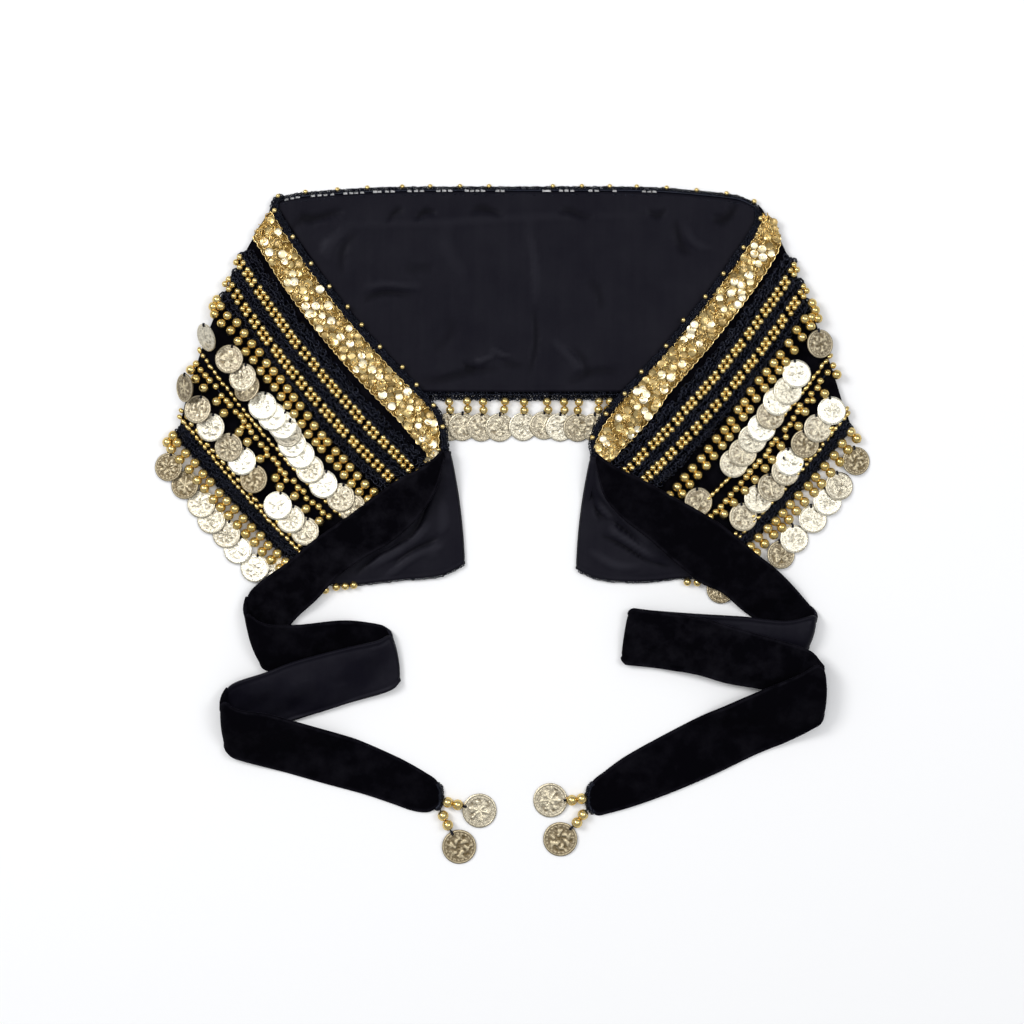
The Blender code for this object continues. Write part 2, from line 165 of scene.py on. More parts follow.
def velvetFinish(name, crushed):
    # near-black pile; crushed patches lean another way and look greyer; along the rolled edges a painted
    # sheen turns the pile paler
    # rolled: the paler colour of the painted sheen on the rolled edges
    look = {"pile": (0.0010, 0.0008, 0.0018), "leaning": (0.0064, 0.0060, 0.0086), "patchMm": 26.0,
            "blotchMm": 9.0, "rolled": (0.0080, 0.0074, 0.0110), "tuftMm": 0.9}
    finish = Finish(name, Roughness=0.95, Specular_IOR_Level=0.03, Sheen_Weight=0.09,
                    Sheen_Roughness=0.25, Sheen_Tint=(0.42, 0.38, 0.60, 1.0))
    place = finish.place()
    patches = finish.noise(place, 1 / look["patchMm"], 2.0, 0.5, 0.2)
    blotches = finish.noise(place, 1 / look["blotchMm"], 4.0, 0.62, 0.15)
    mottle = finish.level(patches * 0.5 + blotches * 0.5, 0.46, 0.84 - 0.14 * crushed)
    pile = finish.mix(mottle, look["pile"], look["leaning"])
    # painted sheen: along the rolled edges (the rim mark) the pile is mixed unevenly towards a paler
    # colour
    paintedSheen = finish.attribute("rim") * finish.level(blotches, 0.35, 0.65, (0.1, 0.85))
    finish.feed("Base Color", finish.mix(paintedSheen, pile, look["rolled"]))
    tufts = finish.noise(place, 1 / look["tuftMm"], 3.0, 0.7)
    finish.bump(tufts + patches * 1.5, 0.35, 0.55)
    return finish.material


def liningFinish():
    # smooth satin twill with faint pressed streaks; its creases carry painted light, a highlight on the
    # ridges and shade in the troughs
    look = {"cloth": (0.0042, 0.0038, 0.0072), "lit": (0.0080, 0.0077, 0.0114), "ribMm": 0.8,
            "ridge": (0.0150, 0.0145, 0.0200), "troughShade": (0.0011, 0.0010, 0.0022)}
    finish = Finish("liningCharcoal", Roughness=0.38, Specular_IOR_Level=0.065,
                    Specular_Tint=(0.86, 0.84, 1.0, 1.0))
    place = finish.place()
    streaks = finish.noise(finish.place((1.0, 0.08, 1.0)), 1 / 6.0, 3.0, 0.55)
    cloudy = finish.noise(place, 1 / 30.0, 3.0, 0.55)
    cloth = finish.mix(finish.level(streaks * 0.3 + cloudy * 0.7, 0.33, 0.68), look["cloth"], look["lit"])
    # painted light: the crease mark mixes the cloth towards a paler colour on ridges (painted highlight)
    # and a darker one in troughs (painted shade)
    cloth = finish.mix(finish.level(finish.attribute("crease"), 0.15, 1.2), cloth, look["ridge"])
    cloth = finish.mix(finish.level(finish.attribute("crease") * -1.0, 0.1, 1.0), cloth, look["troughShade"])
    finish.feed("Base Color", cloth)
    twill = finish.node("ShaderNodeTexWave", {"bands_direction": "DIAGONAL"}, {
        "Vector": place, "Scale": 0.5 / look["ribMm"], "Distortion": 0.6, "Detail": 1.0}, output="Fac")
    finish.bump(twill * 0.04 + streaks * 0.3 + cloudy * 5.0, 0.5, 0.6)
    return finish.material


def crochetFinish():
    # glossy twisted thread, blue-black
    look = {"thread": (0.0007, 0.0008, 0.0018), "lit": (0.0036, 0.0042, 0.0095), "plyMm": 0.45}
    finish = Finish("crochetNavy", Roughness=0.24, Specular_IOR_Level=0.32,
                    Specular_Tint=(0.66, 0.72, 1.0, 1.0))
    place = finish.place()
    patches = finish.noise(place, 1 / 4.0, 3.0, 0.65)
    finish.feed("Base Color", finish.mix(finish.level(patches, 0.45, 0.7), look["thread"], look["lit"]))
    finish.bump(finish.noise(place, 1 / look["plyMm"], 2.0, 0.7), 0.25, 0.8)
    return finish.material


def goldFinish(name, warm, pale, dull, roughness, metallic=1.0):
    # plated metal: each piece has its own tone, and its plating is a little uneven
    finish = Finish(name, Metallic=metallic, Specular_Tint=(0.90, 0.72, 0.36, 1.0))
    place = finish.place()
    tone = finish.attribute("tone")
    specks = finish.noise(place, 1 / 0.7, 3.0, 0.65)
    plated = finish.mix(tone, warm, pale)
    finish.feed("Base Color", finish.mix(finish.level(specks, 0.55, 0.8, (0.0, 0.7)), plated, dull))
    finish.feed("Roughness", finish.level(specks, 0.3, 0.8, roughness))
    finish.bump(specks, 0.03, 0.4)
    return finish.material


def coinFinish():
    # thin pressed coins: bright on their high spots, brown where the tone is low and in the dips
    look = {"bright": (0.84, 0.80, 0.67), "antique": (0.215, 0.17, 0.105), "rubbed": (0.66, 0.56, 0.37),
            "dip": (0.15, 0.11, 0.055)}
    finish = Finish("coinPale", Metallic=1.0)
    place = finish.place()
    tone = finish.attribute("tone")
    raised = finish.attribute("raised")
    grain = finish.noise(place, 1 / 1.1, 3.0, 0.6, 1.4)
    rubbed = finish.level(raised + grain * 0.3, 0.66, 0.96, (0.0, 0.9))
    face = finish.mix(tone * tone, finish.mix(rubbed, look["antique"], look["rubbed"]), look["bright"])
    hollow = finish.level(grain * 0.6 + raised * 0.7, 0.66, 0.46, (0.0, 0.9)) * (1.25 - tone * 0.75)
    finish.feed("Base Color", finish.mix(hollow, face, look["dip"]))
    finish.feed("Roughness", finish.level(grain - tone * 0.1, 0.2, 0.7, (0.22, 0.40)))
    finish.bump(grain * (1.3 - tone * 0.7), 0.42, 0.85)
    return finish.material


def glitterFinish():
    # cup sequins: thin plated plastic, the dull ones see-through tan; the highest tones, pale and nearly
    # white, are a painted glint
    finish = Finish("sequinCup", Metallic=0.8, Coat_Weight=0.5, Coat_Roughness=0.1)
    tone = finish.attribute("tone")
    finish.feed("Base Color", finish.ramp(tone, (0.0, (0.27, 0.17, 0.045)), (0.4, (0.47, 0.34, 0.13)),
                                          (0.75, (0.82, 0.63, 0.27)), (1.0, (1.0, 0.90, 0.66))))
    finish.feed("Roughness", finish.level(finish.noise(finish.place(), 1 / 1.4), 0.3, 0.7, (0.16, 0.42)))
    finish.bump(finish.noise(finish.place(), 1 / 1.6, 2.0), 0.25, 0.6)
    return finish.material


def floorFinish():
    finish = Finish("paleFloor", Roughness=0.9, Specular_IOR_Level=0.1)
    finish.shader.inputs["Base Color"].default_value = (0.92, 0.92, 0.925, 1.0)
    return finish.material


finishes = {
    "velvet": velvetFinish("velvetBlack", 0.0),
    "crushed": velvetFinish("velvetCrushed", 1.0),
    "lining": liningFinish(),
    "crochet": crochetFinish(),
    "bead": goldFinish("beadGold", (0.60, 0.43, 0.14), (0.80, 0.63, 0.29), (0.42, 0.30, 0.09),
                       (0.07, 0.15), 0.92),
    "thread": goldFinish("threadGold", (0.66, 0.40, 0.08), (0.95, 0.74, 0.34), (0.30, 0.17, 0.04),
                         (0.18, 0.34)),
    # the net's gold is darkened: partly its own colour, partly painted shade for the gaps between curls
    # and cups
    "net": goldFinish("netGold", (0.20, 0.12, 0.03), (0.42, 0.30, 0.10), (0.09, 0.05, 0.012),
                      (0.35, 0.6)),
    "coin": coinFinish(),
    "cup": glitterFinish(),
}
print("finishes made:", len(finishes))


class SurfaceMap:
    # how high the given solids stand over the drawing, spread a little past their edges and softened
    cell = 2.0
    margin = 18.0
    above, under = 60.0, -5.0   # heights that rays start from

    def __init__(self, *names, below=False, passes=2):
        points = []
        faces = []
        for name in names:
            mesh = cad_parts[name].data
            start = len(points)
            for vertex in mesh.vertices:
                x, y, z = vertex.co / mm
                points.append((x - drawingShift[0], y - drawingShift[1], z))
            faces += [[start + index for index in polygon.vertices] for polygon in mesh.polygons]
        self.solid = BVHTree.FromPolygons(points, faces)
        corners = np.array(points)[:, :2]
        self.low = corners.min(axis=0) - self.margin
        size = corners.max(axis=0) + self.margin - self.low
        columns, rows = np.ceil(size / self.cell).astype(int) + 1
        height, way = (self.under, 1.0) if below else (self.above, -1.0)
        field = np.full((rows, columns), np.nan)
        for row in range(rows):
            for column in range(columns):
                spot = (self.low[0] + column * self.cell, self.low[1] + row * self.cell, height)
                hit = self.solid.ray_cast(Vector(spot), Vector((0.0, 0.0, way)))[0]
                if hit is not None:
                    field[row, column] = hit.z
        self.field = blurred(spreadOut(field), passes)

    def at(self, plan):
        place = (plan - self.low) / self.cell
        limit = np.array(self.field.shape)[::-1] - 1.001
        place = np.clip(place, 0.0, limit)
        whole = place.astype(int)
        column, row = whole[..., 0], whole[..., 1]
        right, up = np.moveaxis(place - whole, -1, 0)
        field = self.field
        return (field[row, column] * (1 - right) * (1 - up) + field[row, column + 1] * right * (1 - up)
                + field[row + 1, column] * (1 - right) * up + field[row + 1, column + 1] * right * up)

    def covers(self, plan):
        down = Vector((0.0, 0.0, -1.0))
        return np.array([self.solid.ray_cast(Vector((x, y, self.above)), down)[0] is not None
                         for x, y in plan])


def neighbours(field, fill):
    padded = np.pad(field, 1, mode=fill)
    rows, columns = field.shape
    return [padded[i:i + rows, j:j + columns] for i in range(3) for j in range(3)]


def spreadOut(field):
    while np.isnan(field).any():
        known = ~np.isnan(field)
        total = sum(neighbours(np.where(known, field, 0.0), "constant"))
        count = sum(neighbours(known.astype(float), "constant"))
        field = np.where(known, field, np.where(count > 0, total / np.maximum(count, 1), np.nan))
    return field


def blurred(field, passes):
    for _ in range(passes):
        field = sum(neighbours(field, "edge")) / 9
    return field


# cloth is drawn as rulings; a fold is a half tube this deep, and the stretch behind reaches into it
fold = {"depth": 3.5, "steps": 10, "overlap": 0.4}


def unit(vectors):
    return vectors / np.maximum(np.linalg.norm(vectors, axis=-1, keepdims=True), 1e-9)


def lengthAlong(points):
    # how far along a path each of its points lies
    return np.concatenate([[0.0], np.cumsum(np.linalg.norm(np.diff(points, axis=0), axis=1))])


def readAt(places, known, table):
    # every column of a table read between its rows
    return np.stack([np.interp(places, known, column) for column in np.transpose(table)], axis=-1)


def smoothRows(rows, cells):
    # a table of rulings carried smoothly through its rows, evenly spaced by their middles
    rows = np.array(rows, dtype=float)
    padded = np.vstack([2 * rows[0] - rows[1], rows, 2 * rows[-1] - rows[-2]])
    dense = []
    for place in np.linspace(0.0, len(rows) - 1.0, 24 * (len(rows) - 1) + 1):
        start = min(int(place), len(rows) - 2)
        t = place - start
        before, a, b, after = padded[start:start + 4]
        dense.append(0.5 * (2 * a + (b - before) * t + (2 * before - 5 * a + 4 * b - after) * t ** 2
                            + (3 * a - before - 3 * b + after) * t ** 3))
    dense = np.array(dense)
    length = lengthAlong((dense[:, 0:2] + dense[:, 2:4]) / 2)
    return readAt(np.linspace(0.0, length[-1], cells + 1), length, dense)


def smoothPath(points, cells):
    return smoothRows([(*point, *point) for point in points], cells)[:, :2]


def edgeCrowded(cells, crowding=0.72):
    # places from 0 to 1, closer together near both ends
    t = np.linspace(0.0, 1.0, cells + 1)
    return t - crowding * np.sin(2 * math.pi * t) / (2 * math.pi)


def rulings(rows, cells, places):
    # a plan from rulings x, y to x, y and bow; a ruling without a bow is straight
    table = smoothRows([(*row, 0)[:5] for row in rows], cells)
    v = places[None, :, None]
    start, stop, bow = table[:, None, 0:2], table[:, None, 2:4], table[:, None, 4:5]
    way = unit(stop - start)
    left = np.stack([-way[..., 1], way[..., 0]], axis=-1)
    return start + (stop - start) * v + left * bow * 4 * v * (1 - v)


def trimmedFrom(plan, depth):
    # the lines of a plan from where each is that deep behind its first ruling
    chord = plan[0, -1] - plan[0, 0]
    normal = np.array([-chord[1], chord[0]]) / np.linalg.norm(chord)
    if normal @ (plan[len(plan) // 2] - plan[0]).mean(axis=0) < 0:
        normal = -normal
    gain = np.maximum.accumulate((plan - plan[:1]) @ normal + np.arange(len(plan))[:, None] * 1e-6)
    count = np.arange(len(plan), dtype=float)
    made = np.empty_like(plan)
    for j in range(plan.shape[1]):
        first = np.interp(depth, gain[:, j], count)
        made[:, j] = readAt(np.linspace(first, count[-1], len(plan)), count, plan[:, j])
    return made


def cornerPull(away, radius):
    # how far a rounded corner stands back from the square one, so far from the end
    return radius * (1 - np.sqrt(1 - (1 - np.clip(away / radius, 0.0, 1.0)) ** 2))


def roundedCorners(plan, first, last=(0.0, 0.0)):
    # corner radii at the first and last ruling, each for its top end and its low end
    plan = plan.copy()
    for radii, strip in ((first, plan), (last, plan[::-1])):
        for radius, rows in zip(radii, (strip, strip[:, ::-1])):
            if radius:
                pull = cornerPull(lengthAlong(rows[:, 0]), radius)
                width = np.linalg.norm(rows[:, -1] - rows[:, 0], axis=1)
                rows += (rows[:, -1:] - rows) * (pull / width)[:, None, None]
    return plan


def foldedGrid(plan, top, wall, footAt, low, endsInFold=False, radii=(0.0, 0.0)):
    # inner points of a stretch that grows out of the one behind it through a half tube
    # footAt: the line of that stretch so far from the fold, and low how high its upper face is there
    # radii: how round the tube's two ends are, seen from above
    depth = wall + fold["depth"]
    body = trimmedFrom(plan, depth)
    if endsInFold:
        body = trimmedFrom(body[::-1], depth - fold["overlap"])[::-1]
    height = top.at(body) - wall
    low = np.minimum(low, height[0] - 0.4)
    lip = []
    for step in range(fold["steps"]):
        angle = math.pi * (step / fold["steps"] - 0.5)
        away = wall + fold["depth"] * (1 - math.cos(angle))
        line = np.array(footAt(away) if angle < 0 else trimmedFrom(plan, away)[0])
        for radius, ends in zip(radii, (line, line[::-1])):
            if radius:
                pull = cornerPull(away - wall * math.cos(angle), radius) - cornerPull(away, radius)
                ends += (ends[-1:] - ends) * pull / np.linalg.norm(ends[-1] - ends[0])
        rise = low + (height[0] - low) * (1 + math.sin(angle)) / 2
        lip.append(np.column_stack([line, rise]))
    return np.concatenate([np.array(lip), np.dstack([body, height])])


def creaseHeight(plan, creases):
    # soft ridges, or troughs where the height is negative: x, y to x, y, half width, height
    total = np.zeros(plan.shape[:-1])
    for number, (xa, ya, xb, yb, width, height) in enumerate(creases):
        start = np.array([xa, ya])
        way = np.array([xb, yb]) - start
        length = np.linalg.norm(way)
        along = ((plan - start) @ way) / length ** 2
        aside = (plan - start) @ np.array([-way[1], way[0]]) / length
        aside = aside + width * 0.7 * np.sin(along * 5.0 + number)
        fade = np.clip(4 * along * (1 - along), 0.0, 1.0) ** 0.7
        total += height * fade * np.exp(-(aside / width) ** 2)
    return total


def edgeAway(grid, places):
    # how far each point of a strip is from its nearer edge
    width = np.linalg.norm(grid[:, -1, :2] - grid[:, 0, :2], axis=1)
    return np.minimum(places, 1 - places)[None, :] * width[:, None]


def seamProfile(edge, wall, ridge):
    # thickness over a strip: rolled edges, a raised seam beside each and a groove inside it
    roll = 0.25 + 0.75 * np.sqrt(1 - (1 - np.clip(edge / 1.1, 0, 1)) ** 2)
    seam = ridge * np.exp(-((edge - 1.5) / 0.8) ** 2) - ridge * 0.75 * np.exp(-((edge - 3.3) / 0.7) ** 2)
    return wall * roll + seam


def meshObject(name, points, faces, finish, attributes, *nodes):
    # a piece in its finish, in place of the solids named
    mesh = bpy.data.meshes.new(name)
    world = np.array(points, dtype=float)
    world[:, :2] += drawingShift
    low, share = 0.2, 0.9   # what dips lower than this is raised by most of the rest, off the floor
    world[:, 2] -= share * np.minimum(world[:, 2] + low, 0.0)
    mesh.from_pydata((world * mm).tolist(), [], faces)
    mesh.materials.append(finishes[finish])
    mesh.shade_smooth()
    if finish == "coin":
        mesh.set_sharp_from_angle(angle=math.radians(35))
    for key, values in attributes.items():
        layer = mesh.attributes.new(key, "FLOAT", "POINT")
        layer.data.foreach_set("value", np.asarray(values, dtype=np.float32))
    made = bpy.data.objects.new(name, mesh)
    bpy.context.scene.collection.objects.link(made)
    if nodes:
        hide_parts(*nodes)
    return made


def shell(name, inner, thickness, finish, backFinish, marks, *nodes):
    # closed cloth: an outer and an inner layer joined all round; the inner one may look different
    rows, columns = inner.shape[:2]
    normal = unit(np.cross(np.gradient(inner, axis=0), np.gradient(inner, axis=1)))
    if normal[rows // 2:, :, 2].mean() < 0:
        normal = -normal
    outer = inner + normal * np.broadcast_to(thickness, inner.shape[:2])[..., None]
    points = np.concatenate([outer.reshape(-1, 3), inner.reshape(-1, 3)])
    number = np.arange(rows * columns).reshape(rows, columns)
    top = np.stack([number[:-1, :-1], number[1:, :-1], number[1:, 1:], number[:-1, 1:]], axis=-1)
    faces = top.reshape(-1, 4)
    below = faces[:, ::-1] + rows * columns
    border = np.concatenate([number[0], number[1:, -1], number[-1, -2::-1], number[-2:0:-1, 0]])
    after = np.roll(border, -1)
    side = np.stack([border, after, after + rows * columns, border + rows * columns], axis=-1)
    everything = np.concatenate([faces, below, side])
    signed = np.cross(outer[1:, :-1] - outer[:-1, :-1], outer[1:, 1:] - outer[:-1, :-1])[..., 2].sum()
    if signed < 0:
        everything = everything[:, ::-1]
    marks = {key: np.tile(values.ravel(), 2) for key, values in marks.items()}
    made = meshObject(name, points, everything.tolist(), finish, marks, *nodes)
    if backFinish != finish:
        made.data.materials.append(finishes[backFinish])
        slot = np.zeros(len(everything), dtype=np.int32)
        slot[len(faces):2 * len(faces)] = 1
        made.data.polygons.foreach_set("material_index", slot)
    return made


def turnedFaces(rows, around):
    # faces of a turned body: its top point, rows of points round it, its low point
    last = 1 + rows * around
    faces = []
    for i in range(around):
        j = (i + 1) % around
        faces.append((0, 1 + i, 1 + j))
        for a in range(1, last - around, around):
            faces.append((a + i, a + around + i, a + around + j, a + j))
        faces.append((last - around + i, last, last - around + j))
    return faces


def sphereTemplate(segments=12, rings=8):
    # a template is the points and faces of a small thing that is set down many times
    points = [(0.0, 0.0, 1.0)]
    for ring in range(1, rings):
        angle = math.pi * ring / rings
        for segment in range(segments):
            turn = 2 * math.pi * segment / segments
            points.append((math.sin(angle) * math.cos(turn), math.sin(angle) * math.sin(turn),
                           math.cos(angle)))
    points.append((0.0, 0.0, -1.0))
    return np.array(points), turnedFaces(rings - 1, segments)


def ringTemplate(tube, segments, around, stretch):
    # a ring drawn out sideways
    points = []
    faces = []
    for segment in range(segments):
        turn = 2 * math.pi * segment / segments
        for step in range(around):
            angle = 2 * math.pi * step / around + 0.5
            reach = 1 + tube * math.cos(angle)
            points.append((reach * math.cos(turn) * stretch, reach * math.sin(turn),
                           tube * math.sin(angle)))
    for segment in range(segments):
        after = (segment + 1) % segments
        for step in range(around):
            beside = (step + 1) % around
            faces.append((segment * around + step, after * around + step,
                          after * around + beside, segment * around + beside))
    return np.array(points), faces


def coinTemplate(design, radius=10.0, wall=0.7):
    # a pressed coin: raised rim, a ring of dots and a plain ornament, lumpy as soft metal is
    drawn, tall = 10.0, 0.34
    rings = (0.6, 1.2, 1.8, 2.4, 3.0, 3.6, 4.2, 4.8, 5.4, 6.0, 6.5, 7.0, 7.5, 8.0, 8.5, 8.9, 9.2, 9.5,
             9.8, 10.0)
    turns = np.arange(54) * 2 * math.pi / 54
    r, turn = np.meshgrid(rings, turns, indexing="ij")
    dots = 0.30 * np.exp(-((r - 7.9) / 0.5) ** 2) * (0.5 + 0.5 * np.cos(21 * turn))
    rim = tall * np.exp(-((r - 9.3) / 0.35) ** 2)
    ornament = {
        "rosette": tall * np.exp(-((r - 3.4 - 1.6 * np.cos(8 * turn)) / 1.1) ** 2),
        "star": tall * np.exp(-(np.abs(np.cos(3 * turn)) * r / 1.5) ** 2) * (r < 6.2),
        "sprays": tall * (0.5 + 0.5 * np.cos(6 * turn + r * 0.9)) * np.exp(-((r - 4.3) / 2.0) ** 2),
        "quatrefoil": tall * np.exp(-((r - 4.6 * np.abs(np.cos(2 * turn)) - 0.8) / 0.8) ** 2),
    }[design]
    lumps = np.zeros_like(r)
    seed = np.random.default_rng(len(design))
    for _ in range(110):
        spot, heading = 6.9 * math.sqrt(seed.random()), seed.random() * 2 * math.pi
        away = (r * np.cos(turn) - spot * math.cos(heading)) ** 2
        away = away + (r * np.sin(turn) - spot * math.sin(heading)) ** 2
        lumps += seed.choice([-0.14, 0.17]) * np.exp(-away / 0.35)
    relief = ornament + dots + rim + lumps
    relief[-1] = 0.0
    points = [(0.0, 0.0, wall + 0.2)]
    points += [(a * math.cos(t), a * math.sin(t), wall + h) for a, t, h in
               zip(r.ravel(), turn.ravel(), relief.ravel())]
    points += [(drawn * math.cos(t), drawn * math.sin(t), 0.0) for t in turns]
    points.append((0.0, 0.0, 0.0))
    raised = np.array([0.6, *np.clip(0.42 + relief.ravel() * 1.6, 0, 1), *[0.5] * (len(turns) + 1)])
    return np.array(points) * (radius / drawn), turnedFaces(len(rings) + 1, len(turns)), raised


class Heap:
    # collects copies of templates, then makes one mesh of them
    def __init__(self):
        self.points = []
        self.faces = []
        self.tones = []
        self.raised = []
        self.count = 0

    def add(self, template, centre, axes=None, scale=1.0, tone=0.5):
        points = template[0] * scale
        if axes is not None:
            points = points @ axes
        self.points.append(points + centre)
        self.faces += [tuple(index + self.count for index in face) for face in template[1]]
        self.tones.append(np.full(len(points), tone))
        self.raised.append(template[2] if len(template) > 2 else np.full(len(points), 0.5))
        self.count += len(points)

    def make(self, name, finish, *nodes):
        marks = {"tone": np.concatenate(self.tones), "raised": np.concatenate(self.raised)}
        return meshObject(name, np.concatenate(self.points), self.faces, finish, marks, *nodes)


def axesFrom(up, ahead):
    # rows: sideways, ahead and up, square to each other
    up = unit(up)
    ahead = unit(ahead - up * (up @ ahead))
    return np.array([np.cross(ahead, up), ahead, up])


def tumbled(axes, spread):
    # the same axes turned a little at random, spread in degrees
    lean = np.radians(rng.uniform(-spread, spread, 2))
    turn = rng.uniform(0, 2 * math.pi)
    side, ahead, up = axes
    up = up + side * math.tan(lean[0]) + ahead * math.tan(lean[1])
    return axesFrom(up, side * math.cos(turn) + ahead * math.sin(turn))


def strandFaces(count, around):
    faces = []
    for i in range(count - 1):
        for j in range(around):
            k = (j + 1) % around
            faces.append((i * around + j, i * around + k, (i + 1) * around + k, (i + 1) * around + j))
    faces.append(tuple(range(around))[::-1])
    faces.append(tuple((count - 1) * around + j for j in range(around)))
    return faces


def strand(heap, path, radius, around=5, tone=0.5):
    # a thread along a path of points
    path = np.asarray(path, dtype=float)
    points = []
    for spot, heading in zip(path, unit(np.gradient(path, axis=0))):
        side = unit(np.cross(heading, (0.0, 0.0, 1.0) if abs(heading[2]) < 0.9 else (1.0, 0.0, 0.0)))
        rise = np.cross(side, heading)
        for step in range(around):
            angle = 2 * math.pi * step / around
            points.append(spot + radius * (math.cos(angle) * side + math.sin(angle) * rise))
    heap.add((np.array(points), strandFaces(len(path), around)), (0.0, 0.0, 0.0), tone=tone)


bead = sphereTemplate()
smallBead = sphereTemplate(10, 6)
ornaments = ("rosette", "star", "sprays", "quatrefoil")
designs = [coinTemplate(name) for name in ornaments]
bigCoins = [coinTemplate(name, 12.0, 0.8) for name in ornaments]
loop = ringTemplate(0.42, 8, 3, 1.5)
upward = np.array([0.0, 0.0, 1.0])
print("small templates made")


def crochet(heap, points, normals, width, lanes, pitch, size, ruffle):
    # rows of leaning chain loops along a path; points and normals are for its middle line
    length = lengthAlong(points)
    normals = np.broadcast_to(normals, points.shape)
    for lane in range(lanes):
        aside = 0.0 if lanes == 1 else width * (lane / (lanes - 1) - 0.5)
        for place in np.arange(rng.uniform(0.2, pitch), length[-1], pitch):
            place = place + rng.uniform(-ruffle, ruffle) * pitch
            spot = readAt(place, length, points)
            ahead = readAt(place + 0.8, length, points) - spot
            if np.linalg.norm(ahead) < 0.05:
                continue
            axes = axesFrom(readAt(place, length, normals), ahead)
            sideways = axes[0] * (aside + rng.uniform(-ruffle, ruffle) * size)
            lift = axes[2] * rng.uniform(-0.1, ruffle * 1.6) * size
            lean = math.radians(rng.uniform(20, 60)) * (1 if lane % 2 else -1)
            turned = axesFrom(axes[2] * math.cos(lean) + axes[0] * math.sin(lean) * rng.uniform(0.4, 1),
                              axes[1] * math.cos(0.5) + axes[0] * math.sin(lean))
            heap.add(loop, spot + sideways + lift, turned, size * rng.uniform(0.85, 1.2),
                     rng.uniform(0.2, 0.9))


# the centre panel, lining up
centre = {
    # x and y of each ruling's top end, then of its low end
    "rows": ((-163, 229.6, -222, 77), (-155, 231.4, -206, 78.5), (-145, 233, -190, 80),
        (-102, 236, -127, 84), (-57, 237, -64, 87), (6, 237, 6, 87), (69, 237, 76, 87),
        (108, 236, 139, 84), (151, 232, 199, 79), (162, 229.4, 215, 76), (172, 224, 232, 73)),
    "drop": 150.0, "lining": (3.8, 144.0), "liningWall": 1.0, "velvet": (4.1, 145.6), "velvetWall": 1.45,
    "sides": 0.8, "stitchLine": 141.6, "stitchDepth": -0.44, "creaseShare": 1.35,
    # crochet rows: drop, height, ends; width, lanes, pitch, loop size and ruffle
    "topRows": ((0.95, 0.9, 0.8, 0.4, 2, 1.5, 0.66, 0.22), (5.9, 1.9, 0.8, 0.8, 2, 1.7, 0.75, 0.3)),
    "hemRows": ((146.2, 1.7, 4.0, 1.9, 2, 1.9, 1.05, 0.3), (148.7, 1.4, 4.0, 0.0, 1, 1.8, 1.05, 0.3)),
    # middles and half width of the open slots between the top rows, and the beads over them
    "slotHalf": 1.3, "slots": (
        -158.3, -154.2, -150.4, -139.7, -135, -130.9, -126.2, -116.9, -112.8, -109.3, -105.2, -96.1, -93,
        -87.7, -83.7, -72, -67.3, -63.2, -51.8, -47.5, -43.4, -31.7, -28, -24.2, -20.3, -10.2, -6.7, 22.9,
        25.9, 34.4, 38.2, 42.3, 55, 59.3, 72, 92.6, 96.3, 99.9),
    "topBeads": (-163.8, -144.9, -122.5, -101.5, -77, -57.4, -36.4, -16.1, 28.7, 49, 68.6, 87.5, 108.5,
        129.5, 150.5),
    "creases": ((-150, 217, -118, 217, 3.0, -1.1), (-90, 216, -75, 219, 3.0, -1.0),
        (-69, 215, -53, 220, 2.6, -1.2), (-30, 220, -5, 219, 3.0, -1.0), (32, 218, 60, 218, 3.0, -1.1),
        (94, 217, 109, 220, 3.0, -1.0), (139, 214, 161, 221, 4.0, -1.1), (-148, 213, 108, 214, 4.0, 0.5),
        (-158, 210, -137, 212, 4.0, -0.7), (-105, 158, -67, 165, 3.2, -1.2),
        (-103, 163, -62, 171, 4.0, 0.9), (-118, 210, -131, 184, 4.0, 0.8),
        (-110, 206, -123, 176, 4.0, -0.7), (-75, 186, -56, 174, 5.0, -0.5), (14, 214, 16, 150, 2.4, 0.8),
        (16, 154, 14, 103, 2.6, -0.8), (-26, 109, -13, 122, 2.2, 1.1), (-15, 122, 0, 119, 2.2, 1.0),
        (-35, 113, -24, 109, 2.2, -1.2), (-7, 118, 8, 107, 3.0, -0.6), (31, 133, 45, 105, 3.5, 0.8),
        (40, 126, 55, 104, 3.0, -0.7), (51, 171, 68, 152, 4.0, -0.6), (109, 211, 128, 190, 4.5, -0.9),
        (117, 212, 139, 191, 4.0, 0.7), (-45, 214, -37, 167, 6.0, 0.5), (-67, 102, -7, 107, 3.4, -0.8),
        (36, 101, 77, 108, 3.5, -0.7), (-43, 148, -50, 118, 5.0, -0.5)),
}


def centrePlan(top, low, cells, lines):
    table = smoothRows(centre["rows"], cells)
    part = np.linspace(top, low, lines + 1)[None, :, None] / centre["drop"]
    return table[:, None, 0:2] * (1 - part) + table[:, None, 2:4] * part


def inset(plan, ends):
    # the same plan with its first and last rulings that much further in
    first = trimmedFrom(plan, ends)
    return trimmedFrom(first[::-1], ends)[::-1]


plan = inset(centrePlan(*centre["lining"], 176, 70), centre["sides"])
drops = np.linspace(*centre["lining"], 71)[None, :]
groove = centre["stitchDepth"] * np.exp(-((drops - centre["stitchLine"]) / 0.8) ** 2)
crease = creaseHeight(plan, centre["creases"])
height = SurfaceMap("centre_lining", passes=1).at(plan) - centre["liningWall"]
height = height + np.maximum(crease * centre["creaseShare"], -centre["liningWall"])
